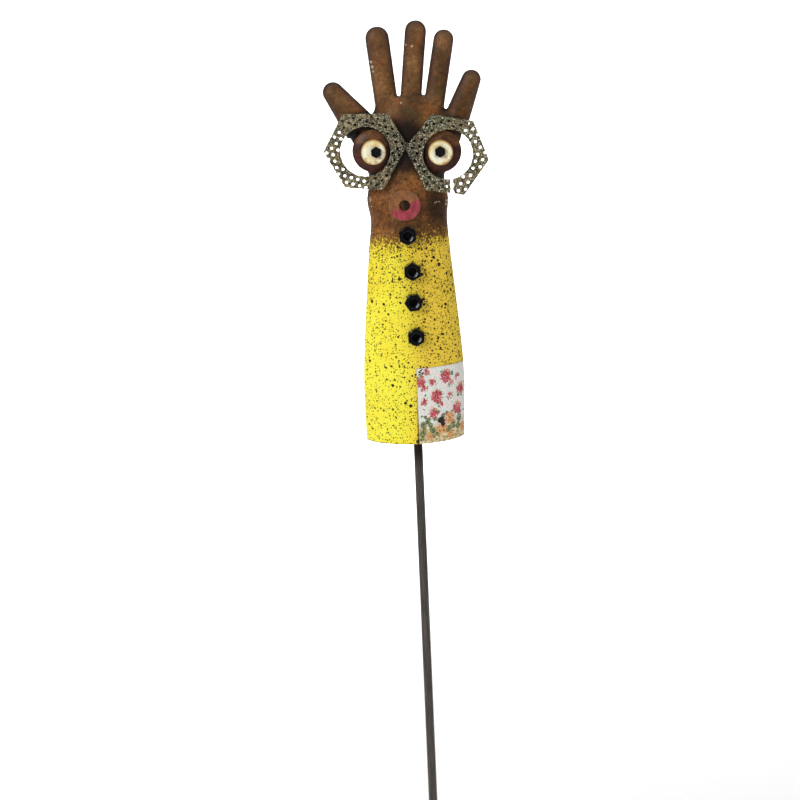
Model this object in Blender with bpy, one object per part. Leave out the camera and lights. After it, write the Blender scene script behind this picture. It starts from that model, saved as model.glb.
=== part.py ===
"""Scarecrow figure on a garden stake: a hollow steel hand form with a face of found hardware.

Units are metres and +Z is up. The origin is the centre of the stake's lower end, the stake runs
up the Z axis, and the figure looks along -Y. The hand form is two pressed halves that meet on the
upright plane y = SEAM_Y. Heights called `up` are measured from the form's open lower rim.
"""

import math

import bmesh
import bpy
from mathutils import Matrix, Vector

# Stake
ROD_RADIUS = 0.0047625
ROD_LENGTH = 0.914
ROD_INSIDE = 0.150
ROD_CHAMFER = 0.0008
ROD_SIDES = 24

# Hand form
WALL = 0.0015
GAP = 0.0003
SEAM_GAP = 0.0003
CREST = 0.15
BACK_DEPTH = 0.0240
RIM_Z = ROD_LENGTH - ROD_INSIDE
SEAM_Y = ROD_RADIUS + GAP + WALL - BACK_DEPTH
FORM_SIDES = 32
FINGER_SIDES = 14
RIM_RUNOUT = 0.005
HALF_SPACE_REACH = 0.3

# Outline of forearm and palm: up, centre x, half width, depth in front, depth behind
FORM_STATIONS = (
    (0.000, -0.0025, 0.0505, 0.0300, BACK_DEPTH),
    (0.045, -0.0015, 0.0516, 0.0295, BACK_DEPTH),
    (0.080, -0.0010, 0.0508, 0.0288, BACK_DEPTH),
    (0.120, -0.0008, 0.0478, 0.0275, BACK_DEPTH),
    (0.160, -0.0007, 0.0443, 0.0260, 0.0238),
    (0.200, -0.0004, 0.0406, 0.0242, 0.0225),
    (0.226, 0.0003, 0.0383, 0.0228, 0.0210),
    (0.247, -0.0003, 0.0404, 0.0222, 0.0200),
    (0.268, 0.0000, 0.0372, 0.0198, 0.0188),
    (0.284, 0.0010, 0.0432, 0.0183, 0.0174),
    (0.300, 0.0018, 0.0512, 0.0170, 0.0162),
    (0.312, 0.0008, 0.0555, 0.0160, 0.0152),
    (0.322, 0.0025, 0.0525, 0.0148, 0.0140),
    (0.330, 0.0045, 0.0375, 0.0136, 0.0128),
    (0.338, 0.0052, 0.0335, 0.0120, 0.0113),
    (0.347, 0.0058, 0.0290, 0.0086, 0.0082),
)

# Fingers: base x, base up, base half width, tip x, tip up, tip half width
FINGERS = (
    (-0.0428, 0.3180, 0.0172, -0.0684, 0.3538, 0.0104),
    (-0.0149, 0.3200, 0.0113, -0.0232, 0.4035, 0.0117),
    (0.0042, 0.3200, 0.0104, 0.0141, 0.4090, 0.0105),
    (0.0256, 0.3180, 0.0102, 0.0409, 0.3998, 0.0099),
    (0.0484, 0.3170, 0.0132, 0.0664, 0.3606, 0.0096),
)
FINGER_BASE_DEPTH = 0.0098
FINGER_TIP_DEPTH = 0.0072
TIP_ANGLES = (28, 52, 74)

# Eyes: disc and collar centre x, up; pupil bolt x, up
EYES = {
    "left": (-0.0316, 0.2977, -0.0291, 0.2982),
    "right": (0.0333, 0.2945, 0.0327, 0.2961),
}
DISC_RADIUS = 0.0207
DISC_RISE = 0.0042
DISC_THICKNESS = 0.0012
DISC_RING_SHARES = (0.45, 0.75, 1.0)
DISC_BACK_Y = SEAM_Y - 0.0172
COLLAR_RADIUS = 0.0121
COLLAR_THICKNESS = 0.0060
COLLAR_CHAMFER = 0.0012
BOLT_HOLE_RADIUS = 0.0027
BOLT_RADIUS = 0.0024
BOLT_HEAD_ACROSS_FLATS = 0.0095
BOLT_HEAD_HEIGHT = 0.0038
BOLT_HEAD_CHAMFER = 0.0006
BOLT_FACE_SHARE = 0.84
BOLT_TAIL = 0.0008
EYE_NUT_THICKNESS = 0.0032
EYE_NUT_CHAMFER = 0.0003
ROUND_SIDES = 32

# Glasses: opening centre x, up, and the six corners measured from it
GLASSES = {
    "left": (
        (-0.0395, 0.2983),
        (
            (0.0408, 0.0047),
            (0.0234, 0.0357),
            (-0.0205, 0.0371),
            (-0.0407, 0.0014),
            (-0.0213, -0.0346),
            (0.0158, -0.0383),
        ),
    ),
    "right": (
        (0.0404, 0.2922),
        (
            (0.0397, -0.0068),
            (0.0257, 0.0311),
            (-0.0146, 0.0395),
            (-0.0412, 0.0082),
            (-0.0226, -0.0340),
            (0.0148, -0.0405),
        ),
    ),
}
OPENING_RADIUS = 0.0242
OPENING_SIDES = 40
PLATE_THICKNESS = 0.0015
LEFT_PLATE_BACK_Y = -0.0392
HOLE_RADIUS = 0.00145
HOLE_SIDES = 8
HOLE_MARGIN = 0.0008
HOLE_ROWS = range(-9, 10)
# Each ring's holes: pitch, turn of the rows in degrees, and shifts along both row directions in pitches
HOLE_LATTICES = {"left": (0.0065, 42, 0.5, 0.5), "right": (0.0072, 9, 0.4, 0.1)}
SLIT_X = 0.0025
SLIT_WIDTH = 0.0030
SLIT_TOP = -0.018
SLIT_BOTTOM = -0.050
CUT_OVERRUN = 0.002

# Buttons: M10 nuts, as x, up and turn in degrees
NUT_ACROSS_FLATS = 0.0160
NUT_THICKNESS = 0.0084
NUT_HOLE_RADIUS = 0.00435
NUT_CHAMFER = 0.0007
NUT_FACE_SHARE = 0.97
HEXAGON_SIDES = 24
BUTTONS = ((-0.0020, 0.2145, -3), (0.0012, 0.1790, 0), (0.0012, 0.1480, 27), (0.0022, 0.1130, 0))

# Lips washer
LIPS_X = -0.0037
LIPS_UP = 0.2440
LIPS_RADIUS = 0.0156
LIPS_HOLE_RADIUS = 0.0053
LIPS_THICKNESS = 0.0020

# Flower patch on the lower right of the forearm
PATCH_LEFT_X = 0.0010
PATCH_END_ANGLE = 13
PATCH_TOP = 0.0795
PATCH_BOTTOM = 0.0006
PATCH_THICKNESS = 0.0005
PATCH_LIFT = 0.00045
PATCH_COLUMNS = 10

# Weld lumps: glasses to palm and disc to palm, as x, up, radius
GLASSES_WELDS = {
    "glasses_bridge_weld": (0.0005, 0.3012, 0.0032, "left"),
    "left_glasses_weld": (-0.0262, 0.2690, 0.0027, "left"),
    "right_glasses_weld": (0.0250, 0.2640, 0.0027, "right"),
}
EYE_WELDS = {"left": (-0.0238, 0.2806), "right": (0.0252, 0.2776)}
EYE_WELD_RADIUS = 0.0024
WELD_SIDES = 10
WELD_SWELL = ((0.0, 0.8), (0.3, 1.0), (0.7, 1.05), (1.0, 1.25))

# Fillet welds beside the rod: height above the rim and length, then the section and how it swells
ROD_WELDS = {"lower": (0.0020, 0.0160), "upper": (0.1300, 0.0180)}
ROD_WELD_SECTION = ((0.0054, 0.0004), (0.0102, 0.0030), (0.0100, 0.0035), (0.0040, 0.0040))
ROD_WELD_MIDDLE = (0.0068, 0.0028)
ROD_WELD_SWELL = ((0.0, 0.55), (0.15, 1.0), (0.85, 1.0), (1.0, 0.55))


def clear_scene():
    for item in list(bpy.data.objects):
        bpy.data.objects.remove(item, do_unlink=True)


def make_material(name, color, roughness, metallic):
    material = bpy.data.materials.new(name)
    material.use_nodes = True
    shader = material.node_tree.nodes["Principled BSDF"]
    shader.inputs["Base Color"].default_value = (*color, 1.0)
    shader.inputs["Roughness"].default_value = roughness
    shader.inputs["Metallic"].default_value = metallic
    return material


def link_object(name, mesh, material):
    item = bpy.data.objects.new(name, mesh)
    mesh.materials.clear()
    mesh.materials.append(material)
    mesh.shade_smooth()
    mesh.set_sharp_from_angle(angle=math.radians(30))
    bpy.context.scene.collection.objects.link(item)
    return item


def mesh_from(name, points, faces):
    """A mesh whose faces all point out."""
    mesh = bpy.data.meshes.new(name)
    mesh.from_pydata([tuple(point) for point in points], [], faces)
    work = bmesh.new()
    work.from_mesh(mesh)
    bmesh.ops.recalc_face_normals(work, faces=work.faces)
    work.to_mesh(mesh)
    work.free()
    return mesh


def loft(name, rings):
    """A closed body through rings of equally many points, with a flat cap at each end."""
    count = len(rings[0])
    points = [point for ring in rings for point in ring]
    faces = [tuple(range(count)), tuple(range(len(points) - count, len(points)))]
    for row in range(len(rings) - 1):
        for k in range(count):
            near = row * count + k
            following = row * count + (k + 1) % count
            faces.append((near, following, following + count, near + count))
    return mesh_from(name, points, faces)


def looped_loft(name, rings):
    """A closed body through rings that also joins its last ring to its first, as a washer's section does."""
    count = len(rings[0])
    points = [point for ring in rings for point in ring]
    faces = []
    for row in range(len(rings)):
        after = (row + 1) % len(rings)
        for k in range(count):
            following = (k + 1) % count
            faces.append(
                (row * count + k, row * count + following, after * count + following, after * count + k)
            )
    return mesh_from(name, points, faces)


def circle_points(radius, sides, y, center=(0.0, 0.0)):
    """Points of a regular polygon that faces along Y, about center = (x, z)."""
    ring = []
    for k in range(sides):
        angle = 2 * math.pi * k / sides
        ring.append(Vector((center[0] + radius * math.cos(angle), y, center[1] + radius * math.sin(angle))))
    return ring


def hexagon_points(across_flats, y, center=(0.0, 0.0)):
    """Points along a hexagon's sides that match the points of a circle of HEXAGON_SIDES."""
    ring = []
    for k in range(HEXAGON_SIDES):
        angle = 2 * math.pi * k / HEXAGON_SIDES
        from_flat = (angle + math.pi / 6) % (math.pi / 3) - math.pi / 6
        radius = across_flats / 2 / math.cos(from_flat)
        ring.append(Vector((center[0] + radius * math.cos(angle), y, center[1] + radius * math.sin(angle))))
    return ring


def boolean(target, cutter, operation):
    """Applies an exact Boolean to target and removes the cutter."""
    modifier = target.modifiers.new(operation.lower(), "BOOLEAN")
    modifier.operation = operation
    modifier.solver = "EXACT"
    modifier.object = cutter
    bpy.context.view_layer.update()
    graph = bpy.context.evaluated_depsgraph_get()
    result = bpy.data.meshes.new_from_object(target.evaluated_get(graph))
    target.modifiers.clear()
    target.data = result
    bpy.data.objects.remove(cutter, do_unlink=True)
    return target


def plain_object(name, mesh):
    item = bpy.data.objects.new(name, mesh)
    bpy.context.scene.collection.objects.link(item)
    return item


def box_object(name, low, high):
    corners = [(x, y, z) for x in (low[0], high[0]) for y in (low[1], high[1]) for z in (low[2], high[2])]
    faces = [(0, 1, 3, 2), (4, 6, 7, 5), (0, 4, 5, 1), (2, 3, 7, 6), (0, 2, 6, 4), (1, 5, 7, 3)]
    return plain_object(name, mesh_from(name, corners, faces))


# ---- Hand form ----


def station_at(up):
    """The form's centre x, half width and two depths at a height, between its stations."""
    for low, high in zip(FORM_STATIONS, FORM_STATIONS[1:]):
        if up <= high[0]:
            break
    share = (up - low[0]) / (high[0] - low[0])
    return [a + (b - a) * share for a, b in zip(low[1:], high[1:])]


def section_point(station, angle, up, grow=0.0):
    """A point of the form's oval section; angle 0 is at +X and 90 degrees is the front's soft crest."""
    center, half, front, back = station
    across = math.cos(angle)
    deep = math.sin(angle)
    if deep > 0:
        deep = (1 - CREST) * deep + CREST * (1 - abs(across))
    depth = front if deep > 0 else back
    return Vector((center + (half + grow) * across, SEAM_Y - (depth + grow) * deep, RIM_Z + up))


def front_y(x, up):
    """Where the form's front surface lies at a place on it."""
    station = station_at(up)
    across = max(-1.0, min(1.0, (x - station[0]) / station[1]))
    return section_point(station, math.acos(across), up).y


def form_rings(inset):
    """Rings of the forearm and palm. The inner set runs out below the rim, so that the form is open there."""
    rings = []
    step = 2 * math.pi / FORM_SIDES
    for up, *station in FORM_STATIONS:
        height = up
        if inset and up == FORM_STATIONS[0][0]:
            height = -RIM_RUNOUT
        if inset and up == FORM_STATIONS[-1][0]:
            height = up - inset
        rings.append([section_point(station, (k + 0.5) * step, height, -inset) for k in range(FORM_SIDES)])
    return rings


def finger_rings(finger, inset):
    """Oval rings from inside the palm to the rounded fingertip."""
    base_x, base_up, base_half, tip_x, tip_up, tip_half = finger
    base = Vector((base_x, SEAM_Y, RIM_Z + base_up))
    tip = Vector((tip_x, SEAM_Y, RIM_Z + tip_up))
    along = (tip - base).normalized()
    side = Vector((along.z, 0.0, -along.x))
    rings = []
    for share in (0.0, 0.5, 1.0):
        half = base_half + (tip_half - base_half) * share
        depth = FINGER_BASE_DEPTH + (FINGER_TIP_DEPTH - FINGER_BASE_DEPTH) * share
        rings.append((base.lerp(tip, share), half - inset, depth - inset))
    for degrees in TIP_ANGLES:
        rise = math.sin(math.radians(degrees)) * (tip_half - inset)
        shrink = math.cos(math.radians(degrees))
        rings.append((tip + along * rise, (tip_half - inset) * shrink, (FINGER_TIP_DEPTH - inset) * shrink))
    step = 2 * math.pi / FINGER_SIDES
    result = []
    for center, half, depth in rings:
        ring = []
        for k in range(FINGER_SIDES):
            turn = (k + 0.5) * step
            ring.append(center + side * half * math.cos(turn) + Vector((0.0, -depth * math.sin(turn), 0.0)))
        result.append(ring)
    return result


def form_solid(name, inset):
    solid = plain_object(name, loft(name, form_rings(inset)))
    for finger in FINGERS:
        cutter = plain_object(name + "_finger", loft(name + "_finger", finger_rings(finger, inset)))
        boolean(solid, cutter, "UNION")
    return solid


def build_hand_form(front_material, back_material):
    """The pressed shell's front and back halves, each cut at the seam and then hollowed."""
    outer = form_solid("hand_form_outer", 0.0)
    inner = form_solid("hand_form_inner", WALL)
    halves = (
        ("hand_form_front", SEAM_Y - SEAM_GAP / 2, HALF_SPACE_REACH, front_material),
        ("hand_form_back", -HALF_SPACE_REACH, SEAM_Y + SEAM_GAP / 2, back_material),
    )
    for name, low_y, high_y, material in halves:
        half = link_object(name, outer.data.copy(), material)
        low = (-HALF_SPACE_REACH, low_y, RIM_Z - HALF_SPACE_REACH)
        high = (HALF_SPACE_REACH, high_y, RIM_Z + 2 * HALF_SPACE_REACH)
        boolean(half, box_object("half_space", low, high), "DIFFERENCE")
        boolean(half, plain_object("hollow", inner.data.copy()), "DIFFERENCE")
        half.data.materials.clear()
        half.data.materials.append(material)
    bpy.data.objects.remove(outer, do_unlink=True)
    bpy.data.objects.remove(inner, do_unlink=True)


# ---- Stake ----


def build_rod(material):
    stops = (
        (0.0, ROD_RADIUS - ROD_CHAMFER),
        (ROD_CHAMFER, ROD_RADIUS),
        (ROD_LENGTH - ROD_CHAMFER, ROD_RADIUS),
        (ROD_LENGTH, ROD_RADIUS - ROD_CHAMFER),
    )
    step = 2 * math.pi / ROD_SIDES
    rings = [
        [Vector((radius * math.cos(k * step), radius * math.sin(k * step), z)) for k in range(ROD_SIDES)]
        for z, radius in stops
    ]
    link_object("stake_rod", loft("stake_rod", rings), material)


def build_rod_welds(material):
    """Fillets between the rod's sides and the inside of the back half, near the rim and at the rod's top."""
    for place, (bottom, length) in ROD_WELDS.items():
        for side, sign in (("left", -1), ("right", 1)):
            rings = []
            middle = Vector(ROD_WELD_MIDDLE)
            for share, scale in ROD_WELD_SWELL:
                ring = []
                for point in ROD_WELD_SECTION:
                    spot = middle + (Vector(point) - middle) * scale
                    ring.append(Vector((sign * spot.x, spot.y, RIM_Z + bottom + length * share)))
                rings.append(ring)
            name = f"rod_weld_{place}_{side}"
            link_object(name, loft(name, rings), material)


# ---- Face ----


def front_plane_y(x, up, radius):
    """The plane facing -Y that just clears the form's front surface within radius of a place."""
    edge = circle_points(radius, ROUND_SIDES, 0.0, (x, up))
    return min(front_y(point.x, point.z) for point in edge + [Vector((x, 0.0, up))]) - GAP


def build_eye_disc(side, material):
    """A domed plug with a bolt hole, its rim at the back."""
    x, up, bolt_x, bolt_up = EYES[side]
    center = (x, RIM_Z + up)
    bolt = (bolt_x, RIM_Z + bolt_up)
    crown = DISC_BACK_Y - DISC_RISE
    outer = [circle_points(BOLT_HOLE_RADIUS, ROUND_SIDES, crown - DISC_THICKNESS, bolt)]
    inner = [circle_points(BOLT_HOLE_RADIUS, ROUND_SIDES, crown, bolt)]
    for share in DISC_RING_SHARES:
        y = DISC_BACK_Y - DISC_RISE * (1 - share**3)
        radius = DISC_RADIUS * share
        outer.append(circle_points(radius, ROUND_SIDES, y - DISC_THICKNESS, center))
        inner.append(circle_points(radius - DISC_THICKNESS / 4, ROUND_SIDES, y, center))
    name = f"{side}_eye_disc"
    link_object(name, looped_loft(name, outer + inner[::-1]), material)


def collar_back_y():
    return DISC_BACK_Y - DISC_THICKNESS - DISC_RISE - GAP


def build_eye_collar(side, material):
    """A thick turned ring whose bolt hole may sit off its centre."""
    x, up, bolt_x, bolt_up = EYES[side]
    center = (x, RIM_Z + up)
    bolt = (bolt_x, RIM_Z + bolt_up)
    back = collar_back_y()
    front = back - COLLAR_THICKNESS
    rings = (
        circle_points(BOLT_HOLE_RADIUS, ROUND_SIDES, front, bolt),
        circle_points(COLLAR_RADIUS - COLLAR_CHAMFER, ROUND_SIDES, front, center),
        circle_points(COLLAR_RADIUS, ROUND_SIDES, front + COLLAR_CHAMFER, center),
        circle_points(COLLAR_RADIUS, ROUND_SIDES, back, center),
        circle_points(BOLT_HOLE_RADIUS, ROUND_SIDES, back, bolt),
    )
    name = f"{side}_eye_collar"
    link_object(name, looped_loft(name, rings), material)


def build_pupil_bolt(side, material):
    """A hexagon-headed bolt in one body: chamfered head, then shank."""
    _, _, bolt_x, bolt_up = EYES[side]
    center = (bolt_x, RIM_Z + bolt_up)
    head_back = collar_back_y() - COLLAR_THICKNESS - GAP
    head_front = head_back - BOLT_HEAD_HEIGHT
    face_radius = BOLT_HEAD_ACROSS_FLATS / 2 * BOLT_FACE_SHARE
    rings = (
        circle_points(face_radius, HEXAGON_SIDES, head_front, center),
        hexagon_points(BOLT_HEAD_ACROSS_FLATS, head_front + BOLT_HEAD_CHAMFER, center),
        hexagon_points(BOLT_HEAD_ACROSS_FLATS, head_back, center),
        circle_points(BOLT_RADIUS, HEXAGON_SIDES, head_back, center),
        circle_points(BOLT_RADIUS, HEXAGON_SIDES, DISC_BACK_Y + BOLT_TAIL, center),
    )
    name = f"{side}_pupil_bolt"
    link_object(name, loft(name, rings), material)


def hexagon_nut(name, across_flats, thickness, hole_radius, chamfer, material):
    """A nut about its own origin, its back face at y = 0 and its front towards -Y."""
    face_radius = across_flats / 2 * NUT_FACE_SHARE
    rings = (
        circle_points(hole_radius + chamfer, HEXAGON_SIDES, -thickness),
        circle_points(face_radius, HEXAGON_SIDES, -thickness),
        hexagon_points(across_flats, -thickness + chamfer),
        hexagon_points(across_flats, -chamfer),
        circle_points(face_radius, HEXAGON_SIDES, 0.0),
        circle_points(hole_radius + chamfer, HEXAGON_SIDES, 0.0),
        circle_points(hole_radius, HEXAGON_SIDES, -chamfer),
        circle_points(hole_radius, HEXAGON_SIDES, -thickness + chamfer),
    )
    return link_object(name, looped_loft(name, rings), material)


def build_eye_nut(side, material):
    """The nut inside the dome that clamps disc and collar."""
    _, _, bolt_x, bolt_up = EYES[side]
    nut = hexagon_nut(
        f"{side}_eye_nut",
        BOLT_HEAD_ACROSS_FLATS,
        EYE_NUT_THICKNESS,
        BOLT_RADIUS + GAP,
        EYE_NUT_CHAMFER,
        material,
    )
    nut.location = (bolt_x, DISC_BACK_Y - DISC_RISE + GAP + EYE_NUT_THICKNESS, RIM_Z + bolt_up)


def weld_lump(name, x, up, radius, front, back, material):
    """A stubby swelling post between two faces."""
    rings = [
        circle_points(radius * scale, WELD_SIDES, front + (back - front) * share, (x, RIM_Z + up))
        for share, scale in WELD_SWELL
    ]
    link_object(name, loft(name, rings), material)


def build_face_welds(material):
    for name, (x, up, radius, side) in GLASSES_WELDS.items():
        back = front_plane_y(x, up, radius * WELD_SWELL[-1][1])
        weld_lump(name, x, up, radius, plate_back_y(side) + GAP, back, material)
    for side, (x, up) in EYE_WELDS.items():
        back = front_plane_y(x, up, EYE_WELD_RADIUS * WELD_SWELL[-1][1])
        weld_lump(f"{side}_eye_weld", x, up, EYE_WELD_RADIUS, DISC_BACK_Y + GAP, back, material)


def plate_back_y(side):
    """The right plate laps over the left one at the bridge."""
    return LEFT_PLATE_BACK_Y - (PLATE_THICKNESS + GAP if side == "right" else 0.0)


def edge_distance(x, z, corners):
    """How far inside the six-sided outline a point lies."""
    nearest = 1.0
    for k, (ax, az) in enumerate(corners):
        bx, bz = corners[(k + 1) % len(corners)]
        length = math.hypot(bx - ax, bz - az)
        nearest = min(nearest, ((bx - ax) * (z - az) - (bz - az) * (x - ax)) / length)
    return nearest


def perforations(side, corners):
    """Centres of the staggered holes that lie wholly on the plate."""
    centers = []
    pitch, turn, shift, row_shift = HOLE_LATTICES[side]
    along = math.radians(turn)
    across = math.radians(turn + 60)
    for row in HOLE_ROWS:
        for column in HOLE_ROWS:
            x = pitch * ((column + shift) * math.cos(along) + (row + row_shift) * math.cos(across))
            z = pitch * ((column + shift) * math.sin(along) + (row + row_shift) * math.sin(across))
            clear = min(edge_distance(x, z, corners), math.hypot(x, z) - OPENING_RADIUS)
            if clear > HOLE_RADIUS + HOLE_MARGIN:
                centers.append((x, z))
    return centers


def build_glasses_ring(side, material):
    """A six-sided perforated plate with a round opening, and a burnt slit on the right one."""
    (x, up), corners = GLASSES[side]
    z = RIM_Z + up
    back = plate_back_y(side)
    front = back - PLATE_THICKNESS
    cut = (front - CUT_OVERRUN, back + CUT_OVERRUN)
    name = f"{side}_glasses_ring"
    outline = [[Vector((x + cx, y, z + cz)) for cx, cz in corners] for y in (front, back)]
    plate = link_object(name, loft(name, outline), material)
    opening = [circle_points(OPENING_RADIUS, OPENING_SIDES, y, (x, z)) for y in cut]
    boolean(plate, plain_object("opening", loft("opening", opening)), "DIFFERENCE")
    if side == "right":
        low = (x + SLIT_X - SLIT_WIDTH / 2, cut[0], z + SLIT_BOTTOM)
        high = (x + SLIT_X + SLIT_WIDTH / 2, cut[1], z + SLIT_TOP)
        boolean(plate, box_object("slit", low, high), "DIFFERENCE")
    punches = bmesh.new()
    for cx, cz in perforations(side, corners):
        if side == "right" and abs(cx - SLIT_X) < SLIT_WIDTH and cz < 0:
            continue
        punch = [circle_points(HOLE_RADIUS, HOLE_SIDES, y, (x + cx, z + cz)) for y in cut]
        punches.from_mesh(loft("punch", punch))
    punch_mesh = bpy.data.meshes.new("punches")
    punches.to_mesh(punch_mesh)
    punches.free()
    boolean(plate, plain_object("punches", punch_mesh), "DIFFERENCE")
    plate.data.materials.clear()
    plate.data.materials.append(material)


def build_lips(material):
    plane = front_plane_y(LIPS_X, LIPS_UP, LIPS_RADIUS)
    center = (LIPS_X, RIM_Z + LIPS_UP)
    rings = (
        circle_points(LIPS_HOLE_RADIUS, ROUND_SIDES, plane - LIPS_THICKNESS, center),
        circle_points(LIPS_RADIUS, ROUND_SIDES, plane - LIPS_THICKNESS, center),
        circle_points(LIPS_RADIUS, ROUND_SIDES, plane, center),
        circle_points(LIPS_HOLE_RADIUS, ROUND_SIDES, plane, center),
    )
    link_object("lips_washer", looped_loft("lips_washer", rings), material)


# ---- Buttons and patch ----


def build_buttons(material):
    """Nuts that sit square on the sloping front."""
    reach = NUT_ACROSS_FLATS / 2
    for number, (x, up, turn) in enumerate(BUTTONS, 1):
        nut = hexagon_nut(
            f"button_nut_{number}", NUT_ACROSS_FLATS, NUT_THICKNESS, NUT_HOLE_RADIUS, NUT_CHAMFER, material
        )
        slope = (front_y(x, up + reach) - front_y(x, up - reach)) / (2 * reach)
        lean = math.atan(slope)
        normal = Vector((0.0, -math.cos(lean), math.sin(lean)))
        surface = Vector((x, front_y(x, up), RIM_Z + up))
        seat = surface + normal * 2 * GAP
        nut.matrix_world = (
            Matrix.Translation(seat)
            @ Matrix.Rotation(-lean, 4, "X")
            @ Matrix.Rotation(math.radians(turn), 4, "Y")
        )


def build_patch(material):
    """Thin printed tin that follows the forearm from its front crest to its right side."""
    rows = (PATCH_BOTTOM, FORM_STATIONS[1][0], PATCH_TOP)
    layers = []
    for grow in (PATCH_LIFT, PATCH_LIFT + PATCH_THICKNESS):
        layer = []
        for up in rows:
            station = station_at(up)
            start = math.acos((PATCH_LEFT_X - station[0]) / station[1])
            end = math.radians(PATCH_END_ANGLE)
            for k in range(PATCH_COLUMNS + 1):
                angle = start + (end - start) * k / PATCH_COLUMNS
                layer.append(section_point(station, angle, up, grow))
        layers.append(layer)
    width = PATCH_COLUMNS + 1
    count = width * len(rows)
    faces = []
    for shift in (0, count):
        for row in range(len(rows) - 1):
            for k in range(PATCH_COLUMNS):
                corner = shift + row * width + k
                faces.append((corner, corner + 1, corner + width + 1, corner + width))
    border = list(range(width))
    border += [width * (row + 1) - 1 for row in range(1, len(rows))]
    border += list(range(count - 2, count - width - 1, -1))
    border += [width * row for row in range(len(rows) - 2, 0, -1)]
    for k, corner in enumerate(border):
        following = border[(k + 1) % len(border)]
        faces.append((corner, following, following + count, corner + count))
    link_object("flower_patch", mesh_from("flower_patch", layers[0] + layers[1], faces), material)


def main():
    clear_scene()
    rust = make_material("rusty_steel", (0.20, 0.095, 0.045), 0.62, 0.15)
    yellow = make_material("yellow_sprayed_steel", (0.85, 0.72, 0.05), 0.55, 0.0)
    rod_steel = make_material("dark_rod_steel", (0.10, 0.10, 0.105), 0.38, 0.9)
    plate_steel = make_material("mottled_perforated_steel", (0.22, 0.21, 0.16), 0.5, 0.6)
    disc_steel = make_material("maroon_disc_steel", (0.10, 0.035, 0.025), 0.38, 0.2)
    brass = make_material("pale_brass", (0.86, 0.74, 0.42), 0.3, 0.8)
    black = make_material("black_gloss_paint", (0.01, 0.01, 0.012), 0.18, 0.0)
    pink = make_material("pink_painted_steel", (0.55, 0.10, 0.13), 0.5, 0.0)
    tin = make_material("printed_tin", (0.82, 0.80, 0.76), 0.35, 0.1)
    zinc = make_material("zinc_plated_steel", (0.45, 0.45, 0.45), 0.4, 0.9)
    weld = make_material("weld_metal", (0.12, 0.10, 0.09), 0.6, 0.6)
    build_hand_form(yellow, rust)
    build_rod(rod_steel)
    build_rod_welds(weld)
    for side in EYES:
        build_eye_disc(side, disc_steel)
        build_eye_collar(side, brass)
        build_pupil_bolt(side, black)
        build_eye_nut(side, zinc)
        build_glasses_ring(side, plate_steel)
    build_face_welds(weld)
    build_lips(pink)
    build_buttons(black)
    build_patch(tin)


main()
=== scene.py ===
"""Looks of the scarecrow figure: a rusty steel hand with a found-hardware face on a garden stake.

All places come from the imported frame, in metres, +Z up, with the figure looking along -Y.
`up` is a height above the hand form's open rim, and RIM_Z and SEAM_Y are read from the frame.
"""

import math
import random

import bmesh
import bpy
from mathutils import Matrix, Vector, noise


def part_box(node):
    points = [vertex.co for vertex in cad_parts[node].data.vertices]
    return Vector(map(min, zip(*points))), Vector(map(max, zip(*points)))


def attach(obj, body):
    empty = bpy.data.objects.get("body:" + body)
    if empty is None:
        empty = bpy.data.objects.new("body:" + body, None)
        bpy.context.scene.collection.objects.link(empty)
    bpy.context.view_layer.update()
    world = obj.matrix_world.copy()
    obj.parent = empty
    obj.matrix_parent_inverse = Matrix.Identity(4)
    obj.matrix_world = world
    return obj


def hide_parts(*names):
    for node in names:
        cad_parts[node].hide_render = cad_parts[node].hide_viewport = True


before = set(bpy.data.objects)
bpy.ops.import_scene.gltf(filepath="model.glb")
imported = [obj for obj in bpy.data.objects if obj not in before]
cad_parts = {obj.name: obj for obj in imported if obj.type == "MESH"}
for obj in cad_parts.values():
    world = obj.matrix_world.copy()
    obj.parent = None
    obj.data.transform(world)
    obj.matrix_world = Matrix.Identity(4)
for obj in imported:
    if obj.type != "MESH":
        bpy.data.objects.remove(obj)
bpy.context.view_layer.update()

# ---- Places read from the frame ----

FRONT_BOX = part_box("hand_form_front")
BACK_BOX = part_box("hand_form_back")
RIM_Z = FRONT_BOX[0].z
SEAM_Y = (FRONT_BOX[1].y + BACK_BOX[0].y) / 2
WALL = 0.0015
# Space at the seam and between touching pieces
GAP = 0.0003

# ---- Hand form: up, centre x, half width, depth in front, depth behind ----

# How far the front's oval section is drawn in to a soft crest
CREST = 0.15
FORM_STATIONS = (
    (0.000, -0.0025, 0.0505, 0.0300, 0.0240),
    (0.045, -0.0015, 0.0516, 0.0295, 0.0240),
    (0.080, -0.0010, 0.0508, 0.0288, 0.0240),
    (0.120, -0.0008, 0.0478, 0.0275, 0.0240),
    (0.160, -0.0007, 0.0443, 0.0260, 0.0238),
    (0.200, -0.0004, 0.0406, 0.0242, 0.0225),
    (0.226, 0.0003, 0.0383, 0.0228, 0.0210),
    (0.247, -0.0003, 0.0404, 0.0222, 0.0200),
    (0.268, 0.0000, 0.0372, 0.0198, 0.0188),
    (0.284, 0.0010, 0.0432, 0.0183, 0.0174),
    (0.300, 0.0018, 0.0512, 0.0170, 0.0162),
    (0.312, 0.0008, 0.0555, 0.0160, 0.0152),
    (0.322, 0.0025, 0.0525, 0.0148, 0.0140),
    (0.330, 0.0045, 0.0375, 0.0136, 0.0128),
    (0.338, 0.0052, 0.0335, 0.0120, 0.0113),
    (0.347, 0.0058, 0.0290, 0.0086, 0.0082),
)

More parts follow.
